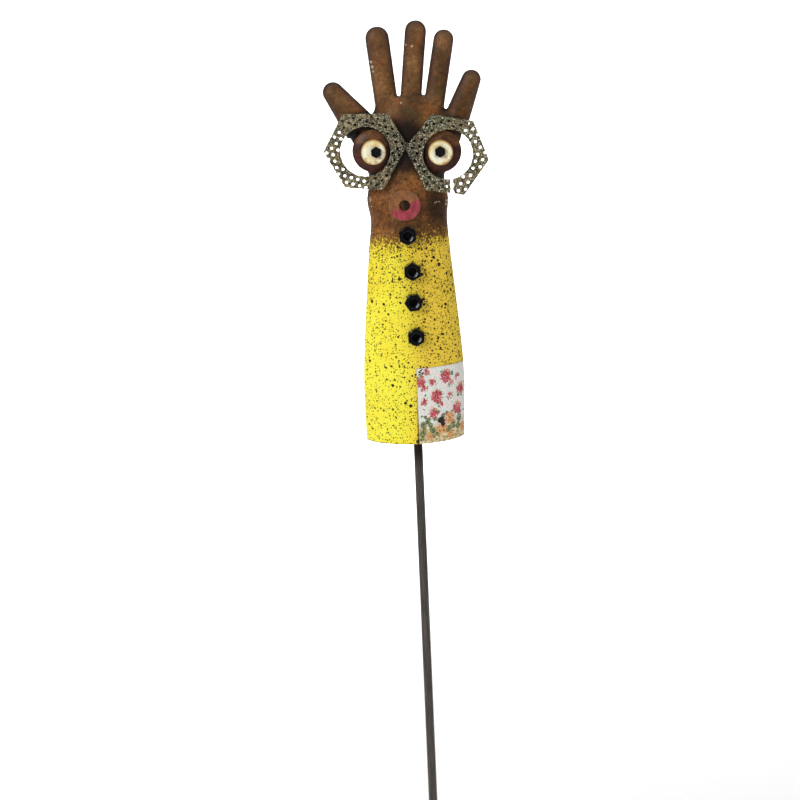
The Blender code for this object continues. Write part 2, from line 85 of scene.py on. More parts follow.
# Fingers: base x, base up, base half width, tip x, tip up, tip half width
FINGERS = (
    (-0.0428, 0.3180, 0.0172, -0.0684, 0.3538, 0.0104),
    (-0.0149, 0.3200, 0.0113, -0.0232, 0.4035, 0.0117),
    (0.0042, 0.3200, 0.0104, 0.0141, 0.4090, 0.0105),
    (0.0256, 0.3180, 0.0102, 0.0409, 0.3998, 0.0099),
    (0.0484, 0.3170, 0.0132, 0.0664, 0.3606, 0.0096),
)
# Half depth of every finger at its base and at its tip
FINGER_DEPTHS = (0.0098, 0.0072)
# Dark droplets over the yellow: cells per metre, largest radius in cells, share of bare cells where
# the spray is open and where it is crowded, and an offset that keeps the sizes apart
SPECKLES = (
    (560.0, 0.42, 0.46, 0.10, (0.0, 0.0, 0.0)),
    (330.0, 0.42, 0.78, 0.52, (4.0, 1.0, 2.0)),
    (175.0, 0.36, 0.90, 0.78, (1.0, 6.0, 3.0)),
)
# Painted shade on the front: x, up, reach, depth. The first three lie by the glasses, the last two behind the
# lips and at the wrist
PAINTED_SHADE_SPOTS = (
    (-0.0490, 0.3130, 0.0100, 0.95),
    (0.0006, 0.3100, 0.030, 0.95),
    (0.0008, 0.2860, 0.018, 0.92),
    (0.0000, 0.2445, 0.011, 0.95),
    (0.0300, 0.2380, 0.022, 0.7),
)
# The rod's painted shadow under the hand form starts this far below the rim and is full after the fade
ROD_SHADE_FROM = 0.045
ROD_SHADE_FADE = 0.025
# The patch's left edge and upper edge, and the left edge of the dark strip beside it
PATCH_LEFT_X = 0.0010
PATCH_TOP = 0.0795
STRIP_X = 0.0480
# Chips of old pale paint, and painted highlights along both sides of the wrist (the last nine): x, up, reach
CHIPS_AND_HIGHLIGHTS = (
    (-0.0300, 0.3820, 0.0014), (-0.0292, 0.3772, 0.0017), (-0.0285, 0.3728, 0.0012),
    (-0.0345, 0.3990, 0.0010), (-0.0082, 0.3625, 0.0010), (0.0042, 0.3968, 0.0010),
    (0.0100, 0.3955, 0.0012), (-0.0030, 0.3420, 0.0010), (-0.0372, 0.2510, 0.0008),
    (-0.0370, 0.2492, 0.0009), (-0.0369, 0.2474, 0.0009), (-0.0363, 0.2420, 0.0007),
    (0.0262, 0.2440, 0.0008), (0.0280, 0.2446, 0.0009), (0.0306, 0.2444, 0.0008),
    (0.0382, 0.2440, 0.0013), (0.0376, 0.2405, 0.0012),
)
FORM_SIDES = 128
FINGER_SIDES = 48
FORM_STEP = 0.0025
VOXEL = 0.0011
SMOOTH_ROUNDS = 9


# ---- Small helpers ----


def to_linear(value):
    return value / 12.92 if value <= 0.04045 else ((value + 0.055) / 1.055) ** 2.4


def srgb(red, green, blue):
    """A screen colour from 0 to 255 as linear RGBA."""
    return (to_linear(red / 255), to_linear(green / 255), to_linear(blue / 255), 1.0)


def smooth_share(share):
    return share * share * (3 - 2 * share)


def new_object(name, mesh):
    item = bpy.data.objects.new(name, mesh)
    bpy.context.scene.collection.objects.link(item)
    return item


def mesh_from(name, points, faces):
    mesh = bpy.data.meshes.new(name)
    mesh.from_pydata([tuple(point) for point in points], [], faces)
    work = bmesh.new()
    work.from_mesh(mesh)
    bmesh.ops.recalc_face_normals(work, faces=work.faces)
    work.to_mesh(mesh)
    work.free()
    return mesh


def loft(name, rings, looped=False):
    """A mesh through rings of equally many points, capped at its ends or looped back to its first ring."""
    points = [point for ring in rings for point in ring]
    count = len(rings[0])
    faces = []
    for row in range(len(rings) if looped else len(rings) - 1):
        low = row * count
        high = (row + 1) % len(rings) * count
        for k in range(count):
            after = (k + 1) % count
            faces.append((low + k, low + after, high + after, high + k))
    if not looped:
        faces.append(tuple(range(count)))
        faces.append(tuple(range(len(points) - count, len(points))))
    return mesh_from(name, points, faces)


def circle(radius, sides, y, center=(0.0, 0.0)):
    """Points of a ring that faces along Y, about center = (x, z).

    radius may be a function of the angle, and y a function of the radius.
    """
    ring = []
    for k in range(sides):
        angle = math.tau * k / sides
        reach = radius(angle) if callable(radius) else radius
        level = y(reach) if callable(y) else y
        ring.append(Vector((center[0] + reach * math.cos(angle), level, center[1] + reach * math.sin(angle))))
    return ring


def turned(profile, sides, center=(0.0, 0.0)):
    """Rings of a turned shape that faces along Y, from its radius and y at each step."""
    return [circle(radius, sides, y, center) for radius, y in profile]


def apply_modifiers(item):
    """Bakes the item's modifiers into its mesh."""
    bpy.context.view_layer.update()
    graph = bpy.context.evaluated_depsgraph_get()
    result = bpy.data.meshes.new_from_object(item.evaluated_get(graph))
    item.modifiers.clear()
    item.data = result


def cut_out(target, mesh):
    """Cuts the solid that a mesh bounds out of the target."""
    cutter = new_object("cutter", mesh)
    modifier = target.modifiers.new("cut", "BOOLEAN")
    modifier.operation = "DIFFERENCE"
    modifier.solver = "EXACT"
    modifier.object = cutter
    apply_modifiers(target)
    bpy.data.objects.remove(cutter, do_unlink=True)


def finish_piece(item, material, node, sharp=30):
    """Shades, paints and attaches a piece that stands for a CAD node."""
    item.data.materials.clear()
    item.data.materials.append(material)
    item.data.shade_smooth()
    item.data.set_sharp_from_angle(angle=math.radians(sharp))
    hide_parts(node)
    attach(item, "root")


# ---- Material helpers ----


class Value:
    """A node's output that can stand in a sum, where each sign adds one math node."""

    def __init__(self, made, socket):
        self.made = made
        self.socket = socket

    def __add__(self, other):
        return self.made.math("ADD", self, other)

    def __sub__(self, other):
        return self.made.math("SUBTRACT", self, other)

    def __mul__(self, other):
        return self.made.math("MULTIPLY", self, other)

    def __truediv__(self, other):
        return self.made.math("DIVIDE", self, other)

    def __abs__(self):
        return self.made.math("ABSOLUTE", self)


class Nodes:
    """Builds one Principled material's node tree."""

    def __init__(self, name):
        self.material = bpy.data.materials.new(name)
        self.material.use_nodes = True
        self.tree = self.material.node_tree
        self.shader = self.tree.nodes["Principled BSDF"]
        self.place = self.add("ShaderNodeTexCoord")["Object"]

    def put(self, value, socket):
        if isinstance(value, Value):
            self.tree.links.new(value.socket, socket)
        else:
            socket.default_value = value

    def add(self, kind, inputs=(), **settings):
        """Adds a node, fills its inputs, and gives its outputs by number and by name."""
        node = self.tree.nodes.new(kind)
        for name, setting in settings.items():
            setattr(node, name, setting)
        for key, value in dict(inputs).items():
            self.put(value, node.inputs[key])
        outputs = {}
        for number, socket in enumerate(node.outputs):
            outputs[number] = outputs[socket.name] = Value(self, socket)
        return outputs

    def math(self, operation, first, second=0.0, third=0.0, clamp=False):
        inputs = {0: first, 1: second, 2: third}
        return self.add("ShaderNodeMath", inputs, operation=operation, use_clamp=clamp)[0]

    def largest(self, first, second):
        return self.math("MAXIMUM", first, second)

    def smallest(self, first, second):
        return self.math("MINIMUM", first, second)

    def wander(self, field, reach):
        """A field from 0 to 1 as a shift of up to half of reach each way."""
        return self.math("MULTIPLY_ADD", field, reach, -reach / 2)

    def vector_math(self, operation, first, second, output=0):
        return self.add("ShaderNodeVectorMath", {0: first, 1: second}, operation=operation)[output]

    def moved(self, source, offset):
        return self.vector_math("ADD", source, offset)

    def stretched(self, source, scale):
        return self.vector_math("MULTIPLY", source, scale)

    def distance(self, first, second):
        return self.vector_math("DISTANCE", first, second, "Value")

    def axes(self, vector=None):
        outputs = self.add("ShaderNodeSeparateXYZ", {0: vector or self.place})
        return outputs[0], outputs[1], outputs[2]

    def about(self, x, z):
        """How far each place lies to the right of and above the point (x, z)."""
        px, _, pz = self.axes()
        return px - x, pz - z

    def length(self, across, rise):
        return self.math("SQRT", self.math("POWER", across, 2.0) + self.math("POWER", rise, 2.0))

    def noise(self, scale, detail, rough, vector=None, offset=None, output="Fac"):
        source = vector or self.place
        if offset:
            source = self.moved(source, offset)
        inputs = {"Vector": source, "Scale": scale, "Detail": detail, "Roughness": rough}
        return self.add("ShaderNodeTexNoise", inputs)[output]

    def cells(self, scale, source):
        """The outputs of round cells, whose Distance runs from each cell's middle."""
        return self.add("ShaderNodeTexVoronoi", {"Vector": source, "Scale": scale})

    def warped(self, source, scale, reach):
        """The source places shifted about by a soft noise, up to half of reach each way."""
        drift = self.noise(scale, 2.0, 0.5, vector=source, output="Color")
        back = self.moved(source, (-reach / 2, -reach / 2, -reach / 2))
        inputs = {0: drift, 1: (reach, reach, reach), 2: back}
        return self.add("ShaderNodeVectorMath", inputs, operation="MULTIPLY_ADD")[0]

    def ramp(self, value, low, high, low_out=0.0, high_out=1.0, smooth=True):
        inputs = {"Value": value, "From Min": low, "From Max": high, "To Min": low_out, "To Max": high_out}
        kind = "SMOOTHSTEP" if smooth else "LINEAR"
        return self.add("ShaderNodeMapRange", inputs, interpolation_type=kind)["Result"]

    def mix(self, share, first, second, blend="MIX"):
        inputs = {0: share, 6: first, 7: second}
        return self.add("ShaderNodeMix", inputs, data_type="RGBA", blend_type=blend)[2]

    def mix_number(self, share, first, second):
        return self.add("ShaderNodeMix", {0: share, 2: first, 3: second}, data_type="FLOAT")[0]

    def patches(self, base, field, low, high, depth, color):
        """The base with a colour laid over it as the field rises from low to high, up to a depth."""
        return self.mix(self.ramp(field, low, high) * depth, base, color)

    def edge_wear(self):
        """A field that rises above 0.5 on outer edges."""
        return self.add("ShaderNodeNewGeometry")["Pointiness"]

    def bump(self, height, strength, distance):
        inputs = {"Strength": strength, "Distance": distance, "Height": height}
        return self.add("ShaderNodeBump", inputs)["Normal"]

    def shade(self, color, roughness, metallic, normal=None, specular=0.5):
        self.put(color, self.shader.inputs["Base Color"])
        self.put(roughness, self.shader.inputs["Roughness"])
        self.put(metallic, self.shader.inputs["Metallic"])
        self.put(specular, self.shader.inputs["Specular IOR Level"])
        if normal:
            self.put(normal, self.shader.inputs["Normal"])
        return self.material


# ---- Materials of the hand form and the rod ----


def rust_layer(made):
    """Colour of brown rusty sheet with orange and olive patches and fine grain."""
    x, _, z = made.axes()
    height = z - RIM_Z
    broad = made.noise(24.0, 5.0, 0.62)
    middle = made.noise(110.0, 6.0, 0.66, offset=(3.1, 0.4, 1.7))
    fine = made.noise(520.0, 4.0, 0.7)
    palm = made.mix(made.ramp(broad, 0.36, 0.64), srgb(86, 54, 26), srgb(138, 90, 46))
    fingers = made.mix(made.ramp(broad, 0.36, 0.64), srgb(84, 57, 30), srgb(142, 100, 58))
    base = made.mix(made.ramp(height, 0.29, 0.35), palm, fingers)
    # Painted shade: darker towards the thumb's side
    base = made.mix(made.ramp(x, -0.074, -0.050, 0.45, 0.0), base, srgb(64, 46, 26))
    orange = made.noise(46.0, 6.0, 0.66, offset=(7.0, 2.0, 5.0))
    base = made.patches(base, orange, 0.52, 0.70, 0.50, srgb(146, 80, 34))
    olive = made.noise(38.0, 6.0, 0.66, offset=(1.0, 9.0, 2.0))
    base = made.patches(base, olive, 0.52, 0.68, 0.6, srgb(80, 68, 38))
    base = made.patches(base, middle, 0.54, 0.72, 0.75, srgb(48, 30, 18))
    pale = made.noise(300.0, 4.0, 0.7, offset=(2.0, 2.0, 8.0))
    base = made.patches(base, pale, 0.62, 0.76, 0.5, srgb(184, 150, 104))
    mottle = made.ramp(made.noise(340.0, 5.0, 0.7, offset=(6.0, 3.0, 1.0)), 0.38, 0.62, 0.60, 1.55)
    grain = made.ramp(fine, 0.34, 0.68, 0.66, 1.36) * mottle
    grain = made.mix_number(made.ramp(height, 0.27, 0.34, 0.25, 0.60), grain, 1.0)
    shade = made.add("ShaderNodeCombineColor", {0: grain, 1: grain, 2: grain})[0]
    return made.mix(1.0, base, shade, "MULTIPLY"), middle, fine


def yellow_share(made):
    """Where the yellow spray covers the steel: all of the forearm, fading by droplets at the wrist."""
    x, _, z = made.axes()
    height = z - RIM_Z
    lean = x * 0.06
    sway = (made.noise(45.0, 2.0, 0.5) - 0.5) * 0.016
    level = height - lean + sway
    density = made.ramp(level, 0.188, 0.226, 1.0, 0.0, smooth=False)
    droplets = made.noise(1150.0, 2.0, 0.6)
    coarse = made.noise(520.0, 2.0, 0.5, offset=(2.0, 5.0, 1.0))
    mist = droplets * 0.6 + coarse * 0.4
    limit = made.ramp(density, 0.0, 1.0, 0.72, 0.28, smooth=False)
    return made.ramp(mist - limit, -0.02, 0.03), level


def speckle_share(made, crowd):
    """Dark droplets over the yellow in three sizes, closer together where crowd is near 1."""
    place = made.warped(made.place, 900.0, 0.0009)
    total = 0.0
    for scale, radius, keep, crowded, offset in SPECKLES:
        cell = made.cells(scale, made.moved(place, offset))
        chance = made.add("ShaderNodeSeparateColor", {0: cell["Color"]})
        kept = made.math("GREATER_THAN", chance[0], made.mix_number(crowd, keep, crowded))
        size = made.ramp(chance[1], 0.0, 1.0, radius * 0.55, radius, smooth=False)
        dot = size * kept - cell["Distance"]
        total = made.largest(total, made.ramp(dot, -0.01, 0.02))
    return total


def painted_ring_shadow(made):
    """Painted shadow on the palm behind and just round both glasses rings."""
    flat = made.stretched(made.place, (1.0, 0.0, 1.0))
    ring_shadow = 0.0
    for (center_x, center_up), _ in GLASSES.values():
        away = made.distance(flat, (center_x, 0.0, RIM_Z + center_up))
        rising = made.ramp(away, 0.0150, 0.0215)
        falling = made.ramp(away, 0.0335, 0.0395, 1.0, 0.0)
        ring_shadow = made.largest(ring_shadow, rising * falling)
    return ring_shadow


def marked_front(made, rust, middle):
    """The rust with painted shade behind and round the face's pieces, chips of old paint, and painted
    highlights at the wrist.
    """
    # Painted shadow of the glasses rings on the palm
    rust = made.mix(painted_ring_shadow(made) * 0.9, rust, srgb(24, 15, 10))
    # Painted shade by the glasses, behind the lips and at the wrist
    for x, up, reach, depth in PAINTED_SHADE_SPOTS:
        spot = made.distance(made.place, (x, front_y(x, up), RIM_Z + up))
        rough_spot = spot + made.wander(middle, 0.010)
        painted_shade = made.ramp(rough_spot, reach * 0.3, reach, depth, 0.0)
        rust = made.mix(painted_shade, rust, srgb(18, 11, 8))
    # Chips of pale paint, and painted highlights along the wrist's edges
    chip_and_highlight_place = made.stretched(made.warped(made.place, 1100.0, 0.0016), (1.0, 0.0, 1.0))
    chips_and_highlights = 9.0
    for x, up, reach in CHIPS_AND_HIGHLIGHTS:
        chips_and_highlights = made.smallest(chips_and_highlights, made.distance(chip_and_highlight_place, (x, 0.0, RIM_Z + up)) / reach)
    return made.mix(made.ramp(chips_and_highlights, 0.75, 1.0, 0.72, 0.0), rust, srgb(192, 178, 156))


def patch_shadow_and_strip(made, color):
    """A painted shadow under the patch's sprung left edge and a dark strip of bare steel right of it."""
    x, _, z = made.axes()
    height = z - RIM_Z
    # Painted shadow along the patch's left edge, deeper towards the bottom
    line = made.ramp(x, PATCH_LEFT_X - 0.0022, PATCH_LEFT_X - 0.0006)
    line = line * made.ramp(height, 0.0, PATCH_TOP * 0.8, 0.95, 0.0, smooth=False)
    strip = made.ramp(x, STRIP_X - 0.0008, STRIP_X + 0.0004)
    dark = made.largest(line, strip * 0.75)
    dark = dark * made.math("LESS_THAN", height, PATCH_TOP)
    return made.mix(dark, color, srgb(52, 38, 30))


def form_material(name, front):
    """Rust above and speckled yellow below; the front also has painted shade, chips of paint, painted
    highlights at the wrist and paint round the nuts.
    """
    made = Nodes(name)
    rust, middle, fine = rust_layer(made)
    _, y, _ = made.axes()
    # Along the seam at the side edges: a purple-grey painted sheen, and a dark line that is partly the welded
    # joint and partly painted shade
    from_seam = abs(y - SEAM_Y) + made.wander(middle, 0.0024)
    rust = made.mix(made.ramp(from_seam, 0.0035, 0.0085, 0.65, 0.0), rust, srgb(78, 56, 48))
    rust = made.mix(made.ramp(from_seam, 0.0012, 0.0054, 0.9, 0.0), rust, srgb(34, 24, 24))
    if front:
        rust = marked_front(made, rust, middle)
    covered, level = yellow_share(made)
    x, _, _ = made.axes()
    sideways = made.ramp(x, -0.018, 0.016)
    upward = made.ramp(level, 0.120, 0.200)
    crowd = made.math("ADD", sideways * 0.55, upward * 0.7, clamp=True)
    warm = made.ramp(made.noise(16.0, 3.0, 0.5), 0.35, 0.7)
    yellow = made.mix(warm, srgb(255, 247, 74), srgb(255, 233, 60))
    # Painted shade: the yellow turns darker orange towards the right, the side away from the light
    yellow = made.mix(sideways * 0.85, yellow, srgb(255, 217, 72))
    mist = made.ramp(made.noise(1250.0, 3.0, 0.75), 0.47, 0.62)
    yellow = made.mix(mist * made.mix_number(crowd, 0.22, 0.66), yellow, srgb(140, 92, 22))
    yellow = made.mix(speckle_share(made, crowd) * 0.97, yellow, srgb(26, 12, 6))
    color = made.mix(covered, rust, yellow)
    from_rim = made.axes()[2] - RIM_Z + made.wander(middle, 0.004)
    color = made.mix(made.ramp(from_rim, 0.0002, 0.0014, 0.8, 0.0), color, srgb(70, 46, 26))
    if front:
        color = patch_shadow_and_strip(made, color)
        for x, up, _ in BUTTONS:
            spot = made.distance(made.place, (x, front_y(x, up), RIM_Z + up))
            color = made.mix(made.ramp(spot, 0.0052, 0.0062, 1.0, 0.0), color, srgb(12, 11, 14))
    rough = made.mix_number(covered, made.ramp(middle, 0.3, 0.8, 0.42, 0.62), 0.55)
    normal = made.bump(fine * 0.4 + middle * 0.6, 0.45, 0.0006)
    return made.shade(color, rough, 0.0, normal, specular=0.16)


def plain_steel(name, color, roughness, scale, shaded_from=None):
    """Drawn or plated steel with fine marks, streaks and stains, and a painted shadow of the hand form above
    a height that the caller gives.
    """
    made = Nodes(name)
    streaks = made.noise(scale, 5.0, 0.65, vector=made.stretched(made.place, (1.0, 1.0, 0.06)))
    stains = made.noise(60.0, 4.0, 0.6)
    darker = (*(part * 0.55 for part in color[:3]), 1.0)
    tone = made.mix(made.ramp(streaks, 0.35, 0.7), darker, color)
    tone = made.patches(tone, stains, 0.6, 0.8, 0.4, srgb(70, 52, 40))
    if shaded_from:
        # Painted shadow: darker towards the top, where the hand form shades the rod
        rod_shade = made.ramp(made.axes()[2], shaded_from, shaded_from + ROD_SHADE_FADE, 0.0, 0.9)
        tone = made.mix(rod_shade, tone, srgb(30, 26, 22))
    rough = made.ramp(streaks, 0.3, 0.75, roughness - 0.08, roughness + 0.12)
    return made.shade(tone, rough, 0.9, made.bump(streaks, 0.15, 0.0002))


# ---- Hand form ----


def catmull(before, low, high, after, share):
    """A smooth value between low and high."""
    return 0.5 * (
        2 * low
        + (high - before) * share
        + (2 * before - 5 * low + 4 * high - after) * share**2
        + (3 * low - before - 3 * high + after) * share**3
    )


def station_at(up):
    """Centre x, half width and two depths at a height, on smooth curves through the stations."""
    last = len(FORM_STATIONS) - 2
    index = 0
    while index < last and up > FORM_STATIONS[index + 1][0]:
        index += 1
    low = FORM_STATIONS[index]
    high = FORM_STATIONS[index + 1]
    before = FORM_STATIONS[max(index - 1, 0)]
    after = FORM_STATIONS[min(index + 2, last + 1)]
    share = (up - low[0]) / (high[0] - low[0])
    return [catmull(before[k], low[k], high[k], after[k], share) for k in range(1, 5)]


def section_point(station, angle, up, grow=0.0):
    """A point of the form's oval section; angle 0 is at +X and 90 degrees is the front's soft crest."""
    center, half, front, back = station
    across = math.cos(angle)
    deep = math.sin(angle)
    if deep > 0:
        deep = (1 - CREST) * deep + CREST * (1 - abs(across))
    depth = front if deep > 0 else back
    return Vector((center + (half + grow) * across, SEAM_Y - (depth + grow) * deep, RIM_Z + up))


def front_y(x, up):
    station = station_at(up)
    across = max(-1.0, min(1.0, (x - station[0]) / station[1]))
    return section_point(station, math.acos(across), up).y


def palm_mesh():
    top = FORM_STATIONS[-1][0]
    count = round(top / FORM_STEP)
    rings = []
    for row in range(-3, count + 1):
        up = top * row / count
        station = station_at(max(up, 0.0))
        rings.append([section_point(station, math.tau * k / FORM_SIDES, up) for k in range(FORM_SIDES)])
    return loft("palm", rings)


def finger_mesh(finger):
    """An oval finger with a round tip, from inside the palm."""
    base_x, base_up, base_half, tip_x, tip_up, tip_half = finger
    base_depth, tip_depth = FINGER_DEPTHS
    base = Vector((base_x, SEAM_Y, RIM_Z + base_up))
    tip = Vector((tip_x, SEAM_Y, RIM_Z + tip_up))
    along = (tip - base).normalized()
    side = Vector((along.z, 0.0, -along.x))
    stops = []
    for step in range(25):
        share = step / 24
        half = base_half + (tip_half - base_half) * share
        stops.append((base.lerp(tip, share), half, base_depth + (tip_depth - base_depth) * share))
    for step in range(1, 12):
        turn = math.pi / 2 * step / 12
        center = tip + along * math.sin(turn) * tip_half
        stops.append((center, tip_half * math.cos(turn), tip_depth * math.cos(turn)))
    rings = []
    for center, half, depth in stops:
        ring = []
        for k in range(FINGER_SIDES):
            turn = math.tau * k / FINGER_SIDES
            ring.append(center + side * half * math.cos(turn) + Vector((0.0, -depth * math.sin(turn), 0.0)))
        rings.append(ring)
    return loft("finger", rings)


def cut_by_plane(mesh, point, normal):
    """Keeps the part of a mesh behind a plane and leaves the cut open."""
    work = bmesh.new()
    work.from_mesh(mesh)
    bmesh.ops.bisect_plane(
        work,
        geom=work.verts[:] + work.edges[:] + work.faces[:],
        plane_co=point,
        plane_no=normal,
        clear_outer=True,
    )
    work.to_mesh(mesh)
    work.free()


def joined_mesh(name, meshes):
    """One mesh of several, side by side."""
    joined = bmesh.new()
    for part in meshes:
        joined.from_mesh(part)
    mesh = bpy.data.meshes.new(name)
    joined.to_mesh(mesh)
    joined.free()
    return mesh


def build_hand_form():
    """One smooth skin over palm and fingers, cut at the seam and given its wall thickness."""
    meshes = [palm_mesh()] + [finger_mesh(finger) for finger in FINGERS]
    skin = new_object("hand_skin", joined_mesh("hand_skin", meshes))
    remesh = skin.modifiers.new("skin", "REMESH")
    remesh.mode = "VOXEL"
    remesh.voxel_size = VOXEL
    relax = skin.modifiers.new("relax", "SMOOTH")
    relax.factor = 0.5
    relax.iterations = SMOOTH_ROUNDS
    apply_modifiers(skin)
    cut_by_plane(skin.data, (0, 0, RIM_Z), (0, 0, -1))
    for facing, side in ((1, "front"), (-1, "back")):
        y = SEAM_Y - facing * GAP / 2
        half = new_object(f"hand_form_{side}_skin", skin.data.copy())
        cut_by_plane(half.data, (0, y, 0), (0, facing, 0))
        wall = half.modifiers.new("wall", "SOLIDIFY")
        wall.thickness = WALL
        wall.offset = -1.0
        wall.use_even_offset = False
        apply_modifiers(half)
        for vertex in half.data.vertices:
            vertex.co.z = max(vertex.co.z, RIM_Z)
            vertex.co.y = facing * min(facing * vertex.co.y, facing * y)
        material = form_material(f"form_{side}_steel", front=facing > 0)
        finish_piece(half, material, f"hand_form_{side}", sharp=50)
    bpy.data.objects.remove(skin, do_unlink=True)


# ---- Stake ----

ROD_CHAMFER = 0.0008
ROD_ROWS = 40
ROD_SIDES = 64


def build_rod():
    low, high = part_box("stake_rod")
    radius = (high.x - low.x) / 2
    length = high.z - low.z
    stops = [(0.0, radius - ROD_CHAMFER)]
    stops += [(ROD_CHAMFER * 0.3, radius - ROD_CHAMFER * 0.4), (ROD_CHAMFER, radius)]
    stops += [(length * k / ROD_ROWS, radius) for k in range(1, ROD_ROWS)]
    stops += [(length - up, reach) for up, reach in stops[2::-1]]
    rings = []
    for up, reach in stops:
        rings.append([Vector((point.x, point.z, low.z + up)) for point in circle(reach, ROD_SIDES, 0.0)])
    rod = new_object("stake_rod_drawn", loft("stake_rod_drawn", rings))
    material = plain_steel("rod_steel", srgb(96, 90, 85), 0.30, 480.0, shaded_from=RIM_Z - ROD_SHADE_FROM)
    finish_piece(rod, material, "stake_rod")


# ---- Face ----

# x and up of each disc's centre and of its bolt
EYES = {
    "left": (-0.0316, 0.2977, -0.0291, 0.2982),
    "right": (0.0333, 0.2945, 0.0327, 0.2961),
}
TURNED_SIDES = 128
HEXAGON_SIDES = 96
DISC_THICKNESS = 0.0012
COLLAR_EDGE = 0.0016
BOLT_HEAD_ACROSS = 0.0095
BOLT_HEAD_HEIGHT = 0.0038
BOLT_DISH_DEPTH = 0.0003
BOLT_SHANK_RADIUS = 0.0024
BOLT_HOLE_RADIUS = 0.0027
LIPS_HOLE_RADIUS = 0.0053
LIPS_EDGE = 0.0004
NUT_HOLE_RADIUS = 0.00435
NUT_MOUTH_RADIUS = 0.00530
# Depth of a nut's countersunk mouth for each metre of its width
MOUTH_SLOPE = 0.6
# Rows of points in each turn of a thread, and where the thread starts in front of a nut's back
THREAD_ROWS = 8
THREAD_START = 0.0004
# Depth of a thread in pitches, and how far the mouth is wider than the bore in thread depths
THREAD_DEPTH = 0.54
MOUTH_REACH = 1.2
# The round faces inside the hexagon as shares of its width across flats, and the back chamfer's depth
NUT_FACE = 0.92
NUT_BACK = 0.93
NUT_BACK_CHAMFER = 0.02
BOLT_FACE = 0.9
HOLE_RADIUS = 0.00145
HOLE_ROWS = range(-9, 10)
# Each ring's holes: pitch, turn of the rows in degrees, and shifts along both row directions in pitches
HOLE_LATTICES = {"left": (0.0065, 42, 0.5, 0.5), "right": (0.0072, 9, 0.4, 0.1)}
HOLE_SIDES = 20
OPENING_RADIUS = 0.0242
OPENING_WOBBLE = 0.0005
OPENING_SIDES = 120
# x and up of each ring's centre, and its corners about that centre
GLASSES = {
    "left": (
        (-0.0395, 0.2983),
        (
            (0.0408, 0.0047),
            (0.0234, 0.0357),
            (-0.0205, 0.0371),
            (-0.0407, 0.0014),
            (-0.0213, -0.0346),
            (0.0158, -0.0383),
        ),
    ),
    "right": (
        (0.0404, 0.2922),
        (
            (0.0397, -0.0068),
            (0.0257, 0.0311),
            (-0.0146, 0.0395),
            (-0.0412, 0.0082),
            (-0.0226, -0.0340),
            (0.0148, -0.0405),
        ),
    ),
}
HOLE_MARGIN = 0.0008
PLATE_BEVEL = 0.00018
# How far the cutters reach past both faces of a plate
CUT_MARGIN = 0.002
# Outline sides, counted like the corners, along which the plate was torn through its holes
TORN_SIDES = {"left": (3, 4), "right": (4, 0)}
TORN_REACH = -0.0008
# Depth of the nicks along each side
EDGE_ROUGHNESS = {
    "left": (0.0004, 0.0008, 0.0006, 0.0010, 0.0009, 0.0007),
    "right": (0.0005, 0.0006, 0.0006, 0.0005, 0.0008, 0.0005),
}
NICK_STEP = 0.0024
CORNER_BITE = 0.0002
SLIT_X = 0.0025
# No hole is punched closer than this to the slit's middle line
SLIT_CLEARANCE = 0.0036
# The cutter's ends as heights below the opening's centre
SLIT_TOP = 0.019
SLIT_FOOT = 0.05
# The slit's ragged sides as height below the opening's centre and distance from its middle
SLIT_LEFT = ((-0.0230, 0.0012), (-0.0265, 0.0008), (-0.0295, 0.0016), (-0.0335, 0.0006), (-0.0372, 0.0018))
SLIT_RIGHT = ((-0.0230, 0.0020), (-0.0272, 0.0012), (-0.0300, 0.0026), (-0.0338, 0.0010), (-0.0385, 0.0032))


def eye_places(side):
    """Centre of an eye's disc and of its bolt, as (x, z)."""
    x, up, bolt_x, bolt_up = EYES[side]
    return (x, RIM_Z + up), (bolt_x, RIM_Z + bolt_up)


def disc_material(name, side, seed):
    """Maroon paint over steel, painted lighter brown over the dome's upper part where the light falls, and
    painted shade on its side towards the nose.
    """
    made = Nodes(name)
    (x, z), _ = eye_places(side)
    px, _, pz = made.axes()
    across = px - x
    rise = pz - z
    wander = (made.noise(140.0, 3.0, 0.6) - 0.5) * 0.007
    # Painted light: the dome's upper part lighter brown, as lit from above
    painted_top_light = made.ramp(rise - across * -0.12 + wander, 0.0060, 0.0085)
    blotch = made.noise(160.0, 5.0, 0.65, offset=(seed, 2.0, 1.0))
    maroon = made.mix(made.ramp(blotch, 0.35, 0.7), srgb(50, 24, 16), srgb(84, 44, 30))
    brown = made.mix(made.ramp(blotch, 0.35, 0.68), srgb(70, 42, 20), srgb(118, 76, 40))
    color = made.mix(painted_top_light, maroon, brown)
    # Painted shade on the disc's side towards the nose, under the ring
    inward = abs(px) + wander
    color = made.mix(made.ramp(inward, 0.0165, 0.0235, 0.94, 0.0), color, srgb(14, 8, 6))
    fine = made.noise(700.0, 3.0, 0.6)
    rough = made.ramp(blotch, 0.3, 0.75, 0.34, 0.55)
    return made.shade(color, rough, 0.0, made.bump(fine, 0.15, 0.0003), specular=0.25)


